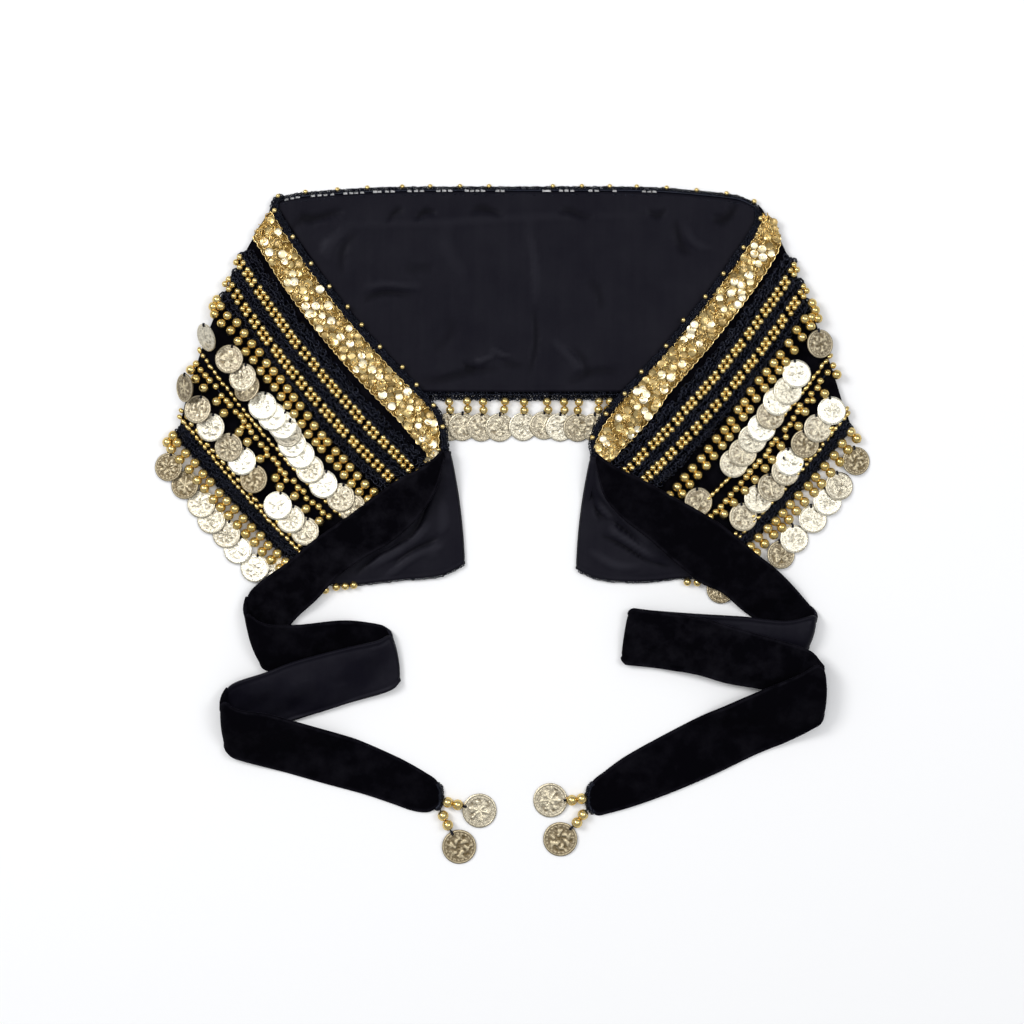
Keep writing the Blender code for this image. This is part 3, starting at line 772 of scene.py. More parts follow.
# the crease mark also sets the lining's painted light: lighter on ridges, darker in troughs
liningPiece = shell("lining_centre", np.dstack([plan, height]), centre["liningWall"] + groove, "lining",
                    "lining", {"crease": crease}, "centre_lining")
plan = inset(centrePlan(*centre["velvet"], 80, 24), centre["sides"])
height = SurfaceMap("centre_velvet", passes=1).at(plan) - centre["velvetWall"] - 0.05
backingPiece = shell("velvet_centre", np.dstack([plan, height]), centre["velvetWall"], "velvet",
                     "velvet", {}, "centre_velvet")


def centreLine(drop, height, ends, cells=240):
    # points along the centre panel at a drop and a height
    line = inset(centrePlan(drop, drop + 0.001, cells, 1), ends)[:, 0]
    return np.column_stack([line, np.full(len(line), height)])


topCrochet = Heap()
for drop, height, ends, *chain in centre["topRows"]:
    crochet(topCrochet, centreLine(drop, height, ends), upward, *chain)
middle = centreLine(2.6, 1.0, 0.8, 1400)
shut = np.min(np.abs(middle[:, :1] - centre["slots"]), axis=1) > centre["slotHalf"]
run = []
for spot, filled in zip(middle, shut):
    if filled:
        run.append(spot)
    elif run:
        if len(run) > 1:
            strand(topCrochet, run, 1.15)
        run = []
strand(topCrochet, run, 1.15)
topPiece = topCrochet.make("crochet_top_edge", "crochet", "centre_top_trim")
hemCrochet = Heap()
for drop, height, ends, *chain in centre["hemRows"]:
    crochet(hemCrochet, centreLine(drop, height, ends), upward, *chain)
hemPiece = hemCrochet.make("crochet_centre_hem", "crochet", "centre_hem_trim")
print("centre panel made")


# the two flaps, velvet up
flap = {
    "origin": (-175.0, 227.2), "slant": 50.0, "rise": 2.8, "bowCentre": 122.0, "bowHalf": 91.0,
    "mirrorX": 5.9, "mirrorDrop": 3.5, "drop": 150.0, "wall": 2.0, "cornerRadii": (5, 0),
    # where the rows end, and how far rows and beads run on under the turned end
    "rowEnd": 262.0, "rowUnder": 7.0, "beadUnder": 6.0,
    # the inner corner bulges out under its cord: how far, from which ruling on, and along how much of it
    "bulge": 8.5, "bulgeFrom": 0.88, "bulgePart": 0.36,
    "swell": {"left": 10.0, "right": 3.0}, "swellRulings": 8 / 18,
    "takeUp": {"left": 0.0, "right": 0.00057}, "corner": {"left": 1.0, "right": 6.5},
    # along and down of each ruling's top end, then of its low end
    "rows": ((6, 0, 87, 150), (56, 0, 121, 150), (108, 0, 148, 150), (154, 0, 175, 150),
        (182, 0, 196, 150), (188, 0, 224, 136), (191, 1, 254, 104), (193, 3, 278, 72)),
    # small puckers between the rows: along and down, from and to, half width, height
    "creases": ((60, 31, 190, 33, 2.0, 0.5), (150, 104, 176, 86, 3.0, 0.9),
        (100, 118, 112, 98, 3.0, 0.6)),
}


def mirrored(side, x, y):
    # the right half follows a mirror image of the left
    if side == "right":
        x, y = 2 * flap["mirrorX"] - x, y - flap["mirrorDrop"]
    return np.stack([x, y], axis=-1)


def flapPoint(side, along, drop):
    # from places along and down the flap, whose rows are bowed, to x and y
    slant = math.radians(flap["slant"])
    drop = drop + flap["rise"] * (1 - 2 * ((along - flap["bowCentre"]) / flap["bowHalf"]) ** 2)
    x = flap["origin"][0] + along * math.cos(slant) - drop * math.sin(slant)
    y = flap["origin"][1] - along * math.sin(slant) - drop * math.cos(slant)
    return mirrored(side, x, y)


def flapSpot(side, along, drop):
    return flapPoint(side, along, drop - flap["takeUp"][side] * drop ** 2)


def hemSpot(side, along, below):
    hem = flap["drop"] - flap["takeUp"][side] * flap["drop"] ** 2
    return flapPoint(side, along, hem + below)


def flapPlan(side, cells, lines):
    table = smoothRows(flap["rows"], cells)
    part = np.linspace(0.0, 1.0, lines + 1)[None, :]
    along = table[:, 0:1] * (1 - part) + table[:, 2:3] * part
    drop = table[:, 1:2] * (1 - part) + table[:, 3:4] * part
    place = np.linspace(0.0, 1.0, cells + 1)[:, None]
    fade = np.clip(1 - place / flap["swellRulings"], 0.0, 1.0) ** 2
    along = along - flap["swell"][side] * fade * 4 * part * (1 - part)
    along = along + flap["corner"][side] * fade * np.clip(1 - drop / 16, 0.0, 1.0) ** 2
    late = np.clip((place - flap["bulgeFrom"]) / (1 - flap["bulgeFrom"]), 0.0, 1.0)
    along = along + flap["bulge"] * late * np.sin(math.pi * np.clip(part / flap["bulgePart"], 0.0, 1.0))
    return flapSpot(side, along, drop)


def foldAlong(side, drop):
    # how far along the belt the fold lies at a drop
    part = drop / flap["drop"]
    top, _, low, _ = flap["rows"][0]
    return top + (low - top) * part - flap["swell"][side] * 4 * part * (1 - part)


flapTop = {side: SurfaceMap(f"flap_{side}") for side in sides}
cover = {side: SurfaceMap(f"tie_{side}_1", f"belt_end_{side}", passes=0) for side in sides}
flapPiece = {}
for side in sides:
    plan = roundedCorners(flapPlan(side, 120, 76), flap["cornerRadii"])
    first = centrePlan(0.0, 150.0, 100, 76)[0 if side == "left" else -1]
    reach = flap["wall"] + fold["depth"]
    grid = foldedGrid(plan, flapTop[side], flap["wall"], lambda away: (
        plan[0] + (first - plan[0]) * away / reach), flap["wall"], radii=flap["cornerRadii"])
    x, y, height = np.moveaxis(grid[fold["steps"]:], -1, 0)
    for xa, ya, xb, yb, *size in flap["creases"]:
        spots = (*flapSpot(side, xa, ya), *flapSpot(side, xb, yb), *size)
        height += creaseHeight(np.dstack([x, y]), [spots])
    height += 0.12 * np.sin(x * 0.31 + y * 0.17) * np.sin(y * 0.23)
    flapPiece[side] = shell(f"velvet_flap_{side}", grid, flap["wall"], "velvet", "lining", {},
                            f"flap_{side}")
print("flaps made")


def onFlap(side, along, drop, lift):
    # points and normals on a flap
    def point(a, d):
        plan = flapSpot(side, a, d)
        return np.concatenate([plan, flapTop[side].at(plan)[..., None]], axis=-1)
    along, drop = np.broadcast_arrays(np.asarray(along, dtype=float), drop)
    ahead = point(along + 1.5, drop) - point(along - 1.5, drop)
    down = point(along, drop + 1.5) - point(along, drop - 1.5)
    normal = unit(np.cross(down, ahead) if side == "left" else np.cross(ahead, down))
    return point(along, drop) + normal * lift, normal


def showing(side, along, drop, under, spot=flapSpot):
    # where a row is still in sight, or no more than a little way under the turned end
    along = np.asarray(along, dtype=float)
    return ~cover[side].covers(spot(side, along - under, np.broadcast_to(drop, along.shape)))


def inSight(side, along, drop, spot=flapSpot):
    return showing(side, [along], drop, flap["beadUnder"], spot)[0]


def rowLine(side, drop, gap, step):
    # places along a row, from that far past the fold to where it goes under the turned end
    along = np.arange(foldAlong(side, drop) + gap, flap["rowEnd"], step)
    seen = showing(side, along, drop, flap["rowUnder"])
    stop = len(along) if seen.all() else int(np.argmin(seen))
    return along[:max(stop, 2)]


crochetRows = {
    # name: drop of the middle line on the left and on the right, width, lanes, loop size
    "crochet_row_1": (36.8, 34.5, 6.6, 4, 1.9), "crochet_row_2": (51.0, 48.6, 6.6, 4, 1.75),
    "crochet_row_3": (65.0, 63.5, 4.0, 3, 1.6), "hem_trim": (145.2, 144.8, 6.4, 5, 1.35),
}
cord = {
    # along and down of the cord's middle line, round both corners of the flap
    "left": ((6.8, -5.9), (6.6, -2.4), (8, 1.6), (14, 3.2), (40, 3.4), (100, 2.8), (150, 1.4), (178, 1.4),
        (190, 2), (197.5, 4.2), (204, 7.6), (209, 11), (216, 17.5), (221, 21.5)),
    "right": ((12, -4.8), (12.8, -2.2), (16, 0.2), (22, 1.7), (40, 1.8), (100, 1.6), (168, 1), (184, 1.5),
        (194, 2.5), (204, 5.5), (211, 9.5), (215, 14), (219, 20)),
}
trims = {side: [] for side in sides}
for side in sides:
    for name, (leftDrop, rightDrop, width, lanes, size) in crochetRows.items():
        drop = leftDrop if side == "left" else rightDrop
        heap = Heap()
        along = rowLine(side, drop, 1.6, 1.5)
        points, normals = onFlap(side, along, drop, 0.8)
        crochet(heap, points, normals, width, lanes, 1.5 * size, size, 0.42)
        trims[side].append(heap.make(f"{name}_{side}_crochet", "crochet", f"{name}_{side}"))
    along, drop = smoothPath(cord[side], 160).T
    points, normals = onFlap(side, along, drop, 0.9)
    points[:, 2] = 2.4 + (points[:, 2] - 2.4) * np.clip(np.linspace(0, 14, len(points)), 0, 1)
    heap = Heap()
    crochet(heap, points + normals * 0.4, normals, 2.7, 4, 1.6, 0.95, 0.25)
    strand(heap, points - normals * 0.7, 1.7, 6)
    trims[side].append(heap.make(f"edge_trim_{side}_crochet", "crochet", f"edge_trim_{side}"))
print("crochet rows made")


# sequin band
band = {
    "curls": 1150, "cups": 132, "cupRadius": 3.05, "crown": 1.1, "bright": 0.28, "scallops": 38,
    # along and down of the band's two edges
    "left": (((10, 6.5), (40, 6.5), (100, 6), (150, 4.8), (177, 3.8), (189, 4.2), (196, 6.7), (203, 10.5),
        (208, 15.5), (213.5, 21.5), (216, 28), (217.5, 34.5)),
        ((15.5, 26), (60, 27), (100, 26.8), (150, 25.8), (177, 25), (193, 25.9), (204.5, 25.9), (211, 27),
        (216, 34))),
    "right": (((12, 1), (15, 3), (20, 4.3), (28, 4.9), (38, 5), (52, 4.7), (110, 4), (168, 3.4),
        (178, 3.3), (189, 5.5), (198, 7), (206, 10), (213, 13.5), (215.5, 19), (214.5, 24.5),
        (213.5, 27.5)),
        ((12, 6), (13, 14), (19.5, 21.5), (26, 24), (36, 24.7), (54, 24.8), (100, 24), (148, 23.5),
        (161, 25.3), (183, 27), (203, 27.1), (213.2, 28))),
}


def cupTemplate(around=10):
    # a shallow open cup
    points = [(0.0, 0.0, 0.03)]
    for radius, height in ((0.45, 0.01), (0.8, 0.05), (1.0, 0.13)):
        points += [(radius * math.cos(turn), radius * math.sin(turn), height)
                   for turn in np.arange(around) * 2 * math.pi / around]
    faces = [(0, 1 + i, 1 + (i + 1) % around) for i in range(around)]
    for start in (1, 1 + around):
        for i in range(around):
            a, b = start + i, start + (i + 1) % around
            faces.append((a, a + around, b + around, b))
    return np.array(points), faces


def arcTemplate(tube, sweep, cells, stretch):
    # a bent thread lying flat
    heap = Heap()
    turn = np.radians(np.linspace(-sweep / 2, sweep / 2, cells + 1))
    path = np.column_stack([np.sin(turn) * stretch, np.cos(turn) - 0.6, 0.25 * np.cos(turn * 2)])
    strand(heap, path, tube, 3)
    return heap.points[0], heap.faces


def scallop(parts):
    return np.abs(np.sin(parts * band["scallops"] * math.pi)) - 0.3


cup = cupTemplate()
curls = [arcTemplate(0.22, 150, 6, 1.5), arcTemplate(0.24, 90, 4, 1.9), arcTemplate(0.2, 250, 8, 1.1)]
for side in sides:
    upper, lower = [smoothPath(edge, 200) for edge in band[side]]

    def bandSpot(part, across, lift, wave=0.0):
        # a point and its normal on the band, part of the way along it and across it
        first, second = [readAt(part * 200, np.arange(201), edge) for edge in (upper, lower)]
        spot = first + (second - first) * across
        return onFlap(side, spot[..., 0], spot[..., 1] + wave, lift)

    parts = np.linspace(0.0, 1.0, 190)
    across = np.linspace(0.0, 1.0, 19)
    rows = [bandSpot(parts, v, 0.1, scallop(parts) * (1 if v > 0.9 else -1 if v < 0.1 else 0))[0]
            for v in across]
    crown = band["crown"] * (1 - np.abs(2 * across - 1) ** 6)
    # a dark gold net under the curls and cups, partly painted shade showing through their gaps
    trims[side].append(shell(f"sequin_band_{side}_net", np.array(rows).transpose(1, 0, 2),
                             0.2 + crown[None, :], "net", "net", {}))
    cups = Heap()
    for number in range(band["cups"]):
        v = (number * 0.382 + rng.uniform(-0.08, 0.08)) % 1.0 * 0.84 + 0.08
        part = ((number + rng.uniform(0, 1)) / band["cups"]) ** 0.85 * 0.97 + 0.015
        # the bright copies carry a painted glint: a nearly white tone, set higher and flatter so they
        # face the lamps
        bright = rng.random() < band["bright"]
        point, normal = bandSpot(part, v, 2.6 if bright else rng.uniform(1.8, 2.6))
        axes = tumbled(axesFrom(normal, (0.6, 0.8, 0.0)), 10 if bright else 20)
        tone = rng.uniform(0.85, 1.0) if bright else rng.uniform(0.1, 0.75)
        cups.add(cup, point, axes, band["cupRadius"] * rng.uniform(0.8, 1.05), tone)
    heap = Heap()
    for number in range(band["curls"]):
        part = (number + rng.uniform(0, 1)) / band["curls"] * 0.985 + 0.01
        part = rng.uniform(0.002, 0.08) if number % 14 == 0 else part
        v = rng.uniform(0.04, 0.96)
        point, normal = bandSpot(part, v, rng.uniform(1.3, 2.6) - abs(2 * v - 1) ** 4)
        axes = tumbled(axesFrom(normal, (0.6, 0.8, 0.0)), 14)
        heap.add(curls[number % 3], point, axes, rng.uniform(1.2, 2.0), rng.uniform(0.2, 1.0))
    # pale scalloped edges
    fine = np.linspace(0.0, 1.0, 460)
    for v, way in ((0.0, -1), (1.0, 1)):
        strand(heap, bandSpot(fine, v, 0.7, scallop(fine) * way)[0], 0.5, 4, 0.85)
    trims[side] += [heap.make(f"sequin_band_{side}_curls", "thread", f"sequin_band_{side}"),
                    cups.make(f"sequin_band_{side}_cups", "cup")]
print("sequin bands made")


# beads and coins on the flaps
beadSizes = {"edge": 1.8, "row": 2.3, "seed": 1.65, "net": 2.5, "big": 3.6}
beadLifts = {"edge": 2.2, "row": 2.3, "seed": 1.5, "net": 2.4, "upper": 3.4, "lower": 3.1, "big": 3.2}
stringing = {
    # everything strung below the rows: places as along and down
    "left": {
        "rows": (43.5, 58.3), "chains": (101.7, 139.6), "pairDrop": (68.5, 68.5, 73.5),
        "start": ((34, 71), (39.5, 71.4), (36, 76), (47, 71.5), (41, 78), (48.5, 78)),
        "pairs": (55, 64, 73, 81, 90, 97.5, 105, 113, 120.5, 128, 136.5, 144.5, 152.5, 159, 168, 175.5,
            183, 191, 199, 207, 215),
        "hem": (86.5, 92, 101.5, 111, 120.5, 128, 138, 145.5, 153.5, 162.5, 171, 179.5, 188, 196.5, 205),
        "edge": ((12, 3.3), (34, 2.5), (56.5, 2.3), (77, 1.3), (96, -0.3), (112, -0.1), (132, 0.1),
            (153, -2.3), (169, -1.1), (187.5, 0.5), (203, 6.8), (213.5, 20.5)),
        "net": ((59, 108.5), (64, 108.6), (69, 108.3), (73.5, 108), (79.5, 107), (87, 107.7), (92, 107),
            (96, 107), (102, 106.8), (106.5, 105.8), (110.5, 106.4), (113, 110), (115.5, 106),
            (119.5, 107), (124.5, 107), (130.5, 107.6), (135.5, 107), (139, 109.5), (144, 108),
            (148.5, 108), (153, 109.7), (157, 109), (161, 111.4), (165, 107.8), (170.5, 109), (175, 108),
            (180, 110), (185, 109), (190, 108), (195, 109), (200, 108)),
        "apexes": ((60, 114), (67, 115), (75, 114.4), (88, 113), (97.5, 113.8), (114, 113.5),
            (122.7, 113.4), (138, 114.8), (155, 115.8), (162, 117.8), (173.5, 114.8), (185.5, 115.4),
            (198, 115)),
    },
    "right": {
        "rows": (41.0, 55.6), "chains": (100.6, 140.0), "pairDrop": (68.5, 68.8, 77.0),
        "start": ((38.6, 66), (41, 71), (46.5, 71.5), (44.2, 76)),
        "pairs": (50, 59.5, 70, 80, 87.5, 95.5, 103.5, 113, 121.5, 128.5, 137.5, 145, 153, 162.5, 171,
            180, 188.5, 197, 205),
        "hem": (89.5, 99.5, 109.5, 119.5, 129.5, 137.5, 147, 155.5, 163.5, 171, 178.5, 187.5, 196),
        "edge": ((9, -9), (16, 1), (39, 2), (62, 0.8), (82.5, 0.1), (105, -2), (126.5, 0.2),
            (151.5, -0.9), (171, 0.9), (190, 1.7), (208.5, 7)),
        "net": ((62.5, 107), (68.5, 107), (76, 106.5), (81, 108), (87, 106.8), (90, 111), (92.5, 107.7),
            (98.5, 105.5), (102.5, 107), (108, 107.6), (113, 108.7), (117.5, 108), (121, 112.5),
            (127, 107.6), (131, 107.3), (136, 109), (140, 110), (146, 109.5), (150.5, 109.5),
            (156, 109.5), (160.5, 110.2), (166, 110.3), (171.5, 110.7), (177, 111), (182.5, 111.7),
            (188, 112.2), (193, 112.2), (198, 112)),
        "apexes": ((66, 113.5), (81, 115), (99.5, 111.5), (110, 114.5), (128, 113.8), (139.5, 116),
            (147.5, 116.5), (158, 116.8), (168.5, 116.8), (180, 117), (190.5, 118)),
    },
}
coinRows = {
    # along, down, tone from 0 brown to 1 bright, lean along and lean down in degrees
    "left": {
        "coin_row_1": ((51, 91, 0.8, -4, 48), (71, 88, 0.45, 7, 6), (87, 88, 0.6, 16, 8),
            (95, 90, 0.3, 30, 10), (111, 89.5, 1.0, 6, 2), (121, 89, 1.0, 6.5, 2), (130, 87.5, 1.0, 7, 2),
            (136, 88, 0.7, 8, 3), (144, 91, 1.0, 6.5, 2), (154, 92, 1.0, 6, 2), (166, 94, 0.8, 7, 3),
            (180, 94.5, 1.0, 6, 2), (195, 92.5, 0.6, 7, 4), (205, 92, 0.5, 7, 6)),
        "coin_row_2": ((68.5, 123.5, 0.25, 12, 40), (84, 126.5, 0.45, 18, 8), (99, 127, 0.85, 6, 4),
            (117.5, 126, 0.4, 7, 4), (131, 125.5, 1.0, 6, 2), (146, 127.5, 0.1, 9, 9),
            (171, 128, 1.0, 6, 2), (184, 128, 0.8, 7, 3), (197, 127, 0.65, 7, 5)),
        "coin_row_3": ((101, 18, 0.0, 8, 9), (118, 17, 0.0, 8, 9), (135.5, 17, 0.75, 6, 4),
            (148.5, 19, 0.75, 7, 4), (163, 18, 0.7, 7, 5), (176.5, 20, 0.95, 6, 3),
            (194, 20.5, 0.9, 6, 3), (203, 12, 0.8, 6, 3)),
    },
    "right": {
        "coin_row_1": ((57, 88.5, 0.3, 4, 12), (83, 88, 1.0, 6, 2), (96, 90.5, 0.85, 7, 3),
            (106.5, 89.3, 0.95, 6.5, 2), (117, 92, 0.5, 8, 4), (127.5, 92.8, 1.0, 6, 2),
            (137, 93.3, 0.8, 6.5, 3), (149, 94.8, 0.6, 7, 4), (159, 95.4, 0.7, 6, 4),
            (195.5, 96.5, 0.4, 6, 9)),
        "coin_row_2": ((87, 128, 1.0, 5, 2), (102.5, 127.5, 0.65, 7, 4), (116, 127.7, 0.3, 7, 6),
            (133, 127.8, 1.0, 6, 2), (140, 130.5, 0.6, 6, 4), (155, 130.5, 0.5, 14, 4),
            (167, 129.3, 0.8, 6, 3), (183.5, 130.7, 0.55, 7, 5)),
        "coin_row_3": ((102.5, 17, 0.1, 8, 9), (123.5, 19, 0.7, 9, 5), (137, 20, 0.95, 6, 2),
            (153, 20.5, 0.85, 6, 3), (172, 20.5, 0.85, 6, 3), (186.5, 21.5, 0.3, 7, 8)),
    },
}
coinRadius, coinHole = 10.0, (8.0, 0.9)   # the hole is that far out and that high
# which way the holes of a side's coins lie
hangs = {"left": (0.24, 1.0, 0.0), "right": (-0.14, 1.0, 0.0)}


def putCoin(coins, knots, point, normal, ahead, toBead, hang, tone, leanAlong, leanDown, order):
    # shingled: the side ahead is lifted over the next coin, the thread side over the velvet
    up = normal - ahead * math.tan(math.radians(leanAlong)) - toBead * math.tan(math.radians(leanDown))
    axes = axesFrom(up, hang)
    spin = rng.uniform(0, 2 * math.pi)
    spun = np.array([axes[0] * math.cos(spin) + axes[1] * math.sin(spin),
                     axes[1] * math.cos(spin) - axes[0] * math.sin(spin), axes[2]])
    reach = coinRadius * math.sin(math.radians(min(math.hypot(leanAlong, leanDown), 50)))
    spot = point + normal * reach * 0.8
    coins.add(designs[order % len(designs)], spot, spun, 1.0, tone)
    hole = spot + axes[1] * coinHole[0] + axes[2] * coinHole[1]
    strand(knots, [hole, hole + axes[1] * 1.2 + axes[2] * 0.3, hole + axes[1] * 2.6 - axes[2] * 0.3], 0.9)


def beadPair(heap, knots, top, low, radius):
    for spot in (top, low):
        heap.add(bead, spot, None, radius, 0.5 + rng.uniform(-0.3, 0.3))
    strand(knots, [top + (top - low) * 0.6, top, low, low + (low - top) * 0.6], 0.6)


for side in sides:
    strung = stringing[side]
    beads = Heap()
    knots = Heap()
    # edge beads stand on the cord, next to the lining
    along, drop = np.array(strung["edge"]).T
    points, _ = onFlap(side, along, drop, beadLifts["edge"])
    points[drop < -6, 2] = 3.2   # one stands on the centre's trim, off the flap
    for point in points:
        beads.add(bead, point, None, beadSizes["edge"], rng.uniform(0.5, 1))
    # two rows of little beads, staggered in pairs, in short runs
    for name, drop in zip(("bead_row_1", "bead_row_2"), strung["rows"]):
        heap = Heap()
        place, *_, last = rowLine(side, drop, 0.8, 0.5)
        while place < last:
            for _ in range(rng.integers(2, 4)):
                if place > last:
                    break
                for lane in (-1, 1):
                    along = place + 0.45 * lane + rng.uniform(-0.3, 0.3)
                    down = drop + 1.95 * lane + rng.uniform(-0.35, 0.35)
                    point, _ = onFlap(side, along, down, beadLifts["row"])
                    heap.add(smallBead, point, None, beadSizes["row"], rng.uniform(0.3, 0.9))
                place += 4.45
            place += rng.uniform(0.5, 1.9)
        trims[side].append(heap.make(f"{name}_{side}_beads", "bead", f"{name}_{side}"))
    # hanging pairs of big beads
    for place in strung["pairs"]:
        drop = np.interp(place, (50, 110, 200), strung["pairDrop"]) + rng.uniform(-0.5, 0.5)
        if inSight(side, place, drop):
            upper, _ = onFlap(side, place, drop, beadLifts["upper"])
            lower, _ = onFlap(side, place + 1.4, drop + 6.7, beadLifts["lower"])
            beadPair(beads, knots, upper, lower, beadSizes["big"])
    for along, drop in strung["start"]:
        point, _ = onFlap(side, along, drop, beadLifts["big"])
        beads.add(bead, point, None, beadSizes["big"] * 0.95, rng.uniform(0.3, 0.8))
    # chains of seeds along both tiers, the lower one doubled
    first, second = strung["chains"]
    for drop, gap in ((first, 4.5), (second, 4.5), (second - 3.4, 5.6)):
        line = rowLine(side, drop, 0.8, 0.5)
        place = line[0]
        points, _ = onFlap(side, line, drop, 0.9)
        strand(knots, points, 0.5)
        while place < line[-1]:
            point, normal = onFlap(side, place, drop + rng.uniform(-0.4, 0.4), beadLifts["seed"])
            ahead = onFlap(side, place + 1.0, drop, beadLifts["seed"])[0] - point
            stretched = smallBead[0] * (1.0, 1.0, rng.uniform(1.1, 1.7))
            beads.add((stretched, smallBead[1]), point, axesFrom(ahead, normal), beadSizes["seed"],
                      rng.uniform(0.2, 0.9))
            place += gap * rng.uniform(0.9, 1.12)
    # a net of middling beads that gathers to a big one over each coin of the second tier
    net = np.array([spot for spot in strung["net"] if inSight(side, *spot)])
    for along, drop in net:
        point, _ = onFlap(side, along, drop, beadLifts["net"])
        beads.add(bead, point, None, beadSizes["net"] * rng.uniform(0.95, 1.08), rng.uniform(0.2, 0.8))
    points, _ = onFlap(side, net[:, 0], net[:, 1], 1.6)
    strand(knots, points, 0.55)
    for along, drop in strung["apexes"]:
        if inSight(side, along, drop):
            top, _ = onFlap(side, along - 0.5, drop - 6.0, 2.0)
            low, _ = onFlap(side, along, drop, beadLifts["big"])
            beads.add(bead, low, None, beadSizes["big"] * 0.97, rng.uniform(0.3, 0.8))
            strand(knots, [top, low], 0.55)
    # bead pairs below the hem
    for place in strung["hem"]:
        if inSight(side, place, 6.0, hemSpot):
            drop = rng.uniform(1.3, 2.5)
            upper = np.array([*hemSpot(side, place, drop), 4.9])
            lower = np.array([*hemSpot(side, place + 0.6, drop + 6.2), 3.3])
            beadPair(beads, knots, upper, lower, beadSizes["big"])
    # the coins of the third row hang below the hem, over the floor
    for row, table in coinRows[side].items():
        coins = Heap()
        spot = hemSpot if row == "coin_row_3" else flapSpot
        for order, (along, drop, *lie) in enumerate(table, start=len(table)):
            if spot is hemSpot:
                point, normal = np.array([*hemSpot(side, along, drop), 0.6]), upward
            else:
                point, normal = onFlap(side, along, drop, 2.0)
            here = spot(side, along, drop)
            ahead = np.array([*(spot(side, along + 1.0, drop) - here), 0.0])
            toBead = unit(np.array([*(spot(side, along + 0.25, drop - 1.0) - here), 0.0]))
            putCoin(coins, knots, point, normal, ahead, toBead, hangs[side], *lie, order)
        trims[side].append(coins.make(f"{row}_{side}_coins", "coin", f"{row}_{side}"))
    trims[side] += [beads.make(f"flap_{side}_beads", "bead"),
                    knots.make(f"flap_{side}_threads", "crochet")]
print("beads and coins made")


# fringe in the middle of the hem
middleFringe = {
    "upper": (86.3, 3.2), "lower": (80.6, 2.9), "beadSize": 3.0, "leanDown": 4,
    # x of each pair's upper and lower bead, whose y and height are above, and x, y, tone and lean
    # of each coin
    "pairs": ((-44.1, -43.4), (-31.5, -31.0), (-20.3, -20.0), (-4.9, -5.6), (8.4, 8.6), (24.5, 25.4),
        (36.4, 36.8), (46.9, 46.0), (60.9, 60.6), (68.6, 67.2)),
    "coins": ((-43.4, 68.6, 0.5, -6), (-35.0, 68.6, 0.55, -6), (-21.7, 68.2, 0.55, -6),
        (-8.8, 68.0, 0.6, -6), (7.7, 68.6, 0.75, -6), (22.4, 69.5, 0.55, -5), (33.6, 68.2, 0.8, -6),
        (45.9, 68.0, 0.45, -7), (58.1, 68.0, 0.5, 8)),
}
beads = Heap()
knots = Heap()
coins = Heap()
for places in middleFringe["pairs"]:
    rise = rng.uniform(-0.7, 0.7)
    ends = [np.array([x, y + rise, z]) for x, (y, z) in
            zip(places, (middleFringe["upper"], middleFringe["lower"]))]
    beadPair(beads, knots, *ends, middleFringe["beadSize"])
hang = np.array([0.02, 1.0, 0.0])
for order, (x, y, tone, lean) in enumerate(middleFringe["coins"]):
    putCoin(coins, knots, np.array([x, y, 0.15]), upward, np.array([1.0, 0.0, 0.0]), hang, hang, tone,
            lean, middleFringe["leanDown"], order)
fringePieces = [coins.make("coins_centre", "coin", "centre_fringe"), beads.make("beads_centre", "bead"),
                knots.make("threads_centre", "crochet")]
topBeads = Heap()
line = centreLine(-0.3, 0.0, 0.6, 400)
for x in centre["topBeads"]:
    y = np.interp(x, line[:, 0], line[:, 1])
    topBeads.add(bead, (x, y, 3.6 if x < -160 else 1.2), None, 1.6, rng.uniform(0.3, 0.9))
fringePieces.append(topBeads.make("beads_top_edge", "bead"))
print("centre fringe made")


# the turned ends, lining up
end = {
    # rulings x, y to x, y and their bow
    "rows": {
        "left": ((-43, 52, -33, -28, 2), (-47, 51, -51, -36, 0), (-50, 50, -81, -39, -3),
            (-53, 48, -107, -42, -6), (-57, 44, -130, -42, -8)),
        "right": ((-43, 52, -33, -28, 2), (-47, 51, -51, -35, 0), (-50, 50, -81, -36.5, -2),
            (-53, 48, -107, -34, -3), (-57, 44, -130, -34, -4)),
    },
    "wall": 2.0, "seam": 0.25,
    # beads that peek out from under the ends
    "beads": {"left": ((-110.9, -42.4), (-116.9, -43.1), (-123.2, -43.8), (-130.9, -45.9)),
              "right": ((122.9, -40.3), (129.9, -40.6))},
    "creases": {
        "left": ((-52, 40, -96, -24, 3.0, 1.5), (-48, 34, -78, -18, 3.0, -1.3),
            (-46, 20, -56, -26, 4.0, 0.9), (-56, 2, -100, -33, 2.6, 1.5), (-44, -2, -84, -30, 3.0, -1.3),
            (-70, -6, -112, -36, 2.2, -1.3), (-50, -14, -92, -37, 2.4, 1.1)),
        "right": ((62, 30, 96, -16, 2.2, 1.4), (58, 14, 92, -18, 2.0, -1.6), (56, 20, 74, -6, 2.4, 1.4),
            (66, -4, 104, -26, 2.6, 1.4), (60, -8, 112, -30, 2.2, -1.6), (52, -20, 90, -31, 3.2, 1.1),
            (60, 38, 70, 10, 2.2, 1.2), (54, 34, 60, 0, 2.4, -1.2)),
    },
}
endPiece = {}
endTrims = {side: [] for side in sides}
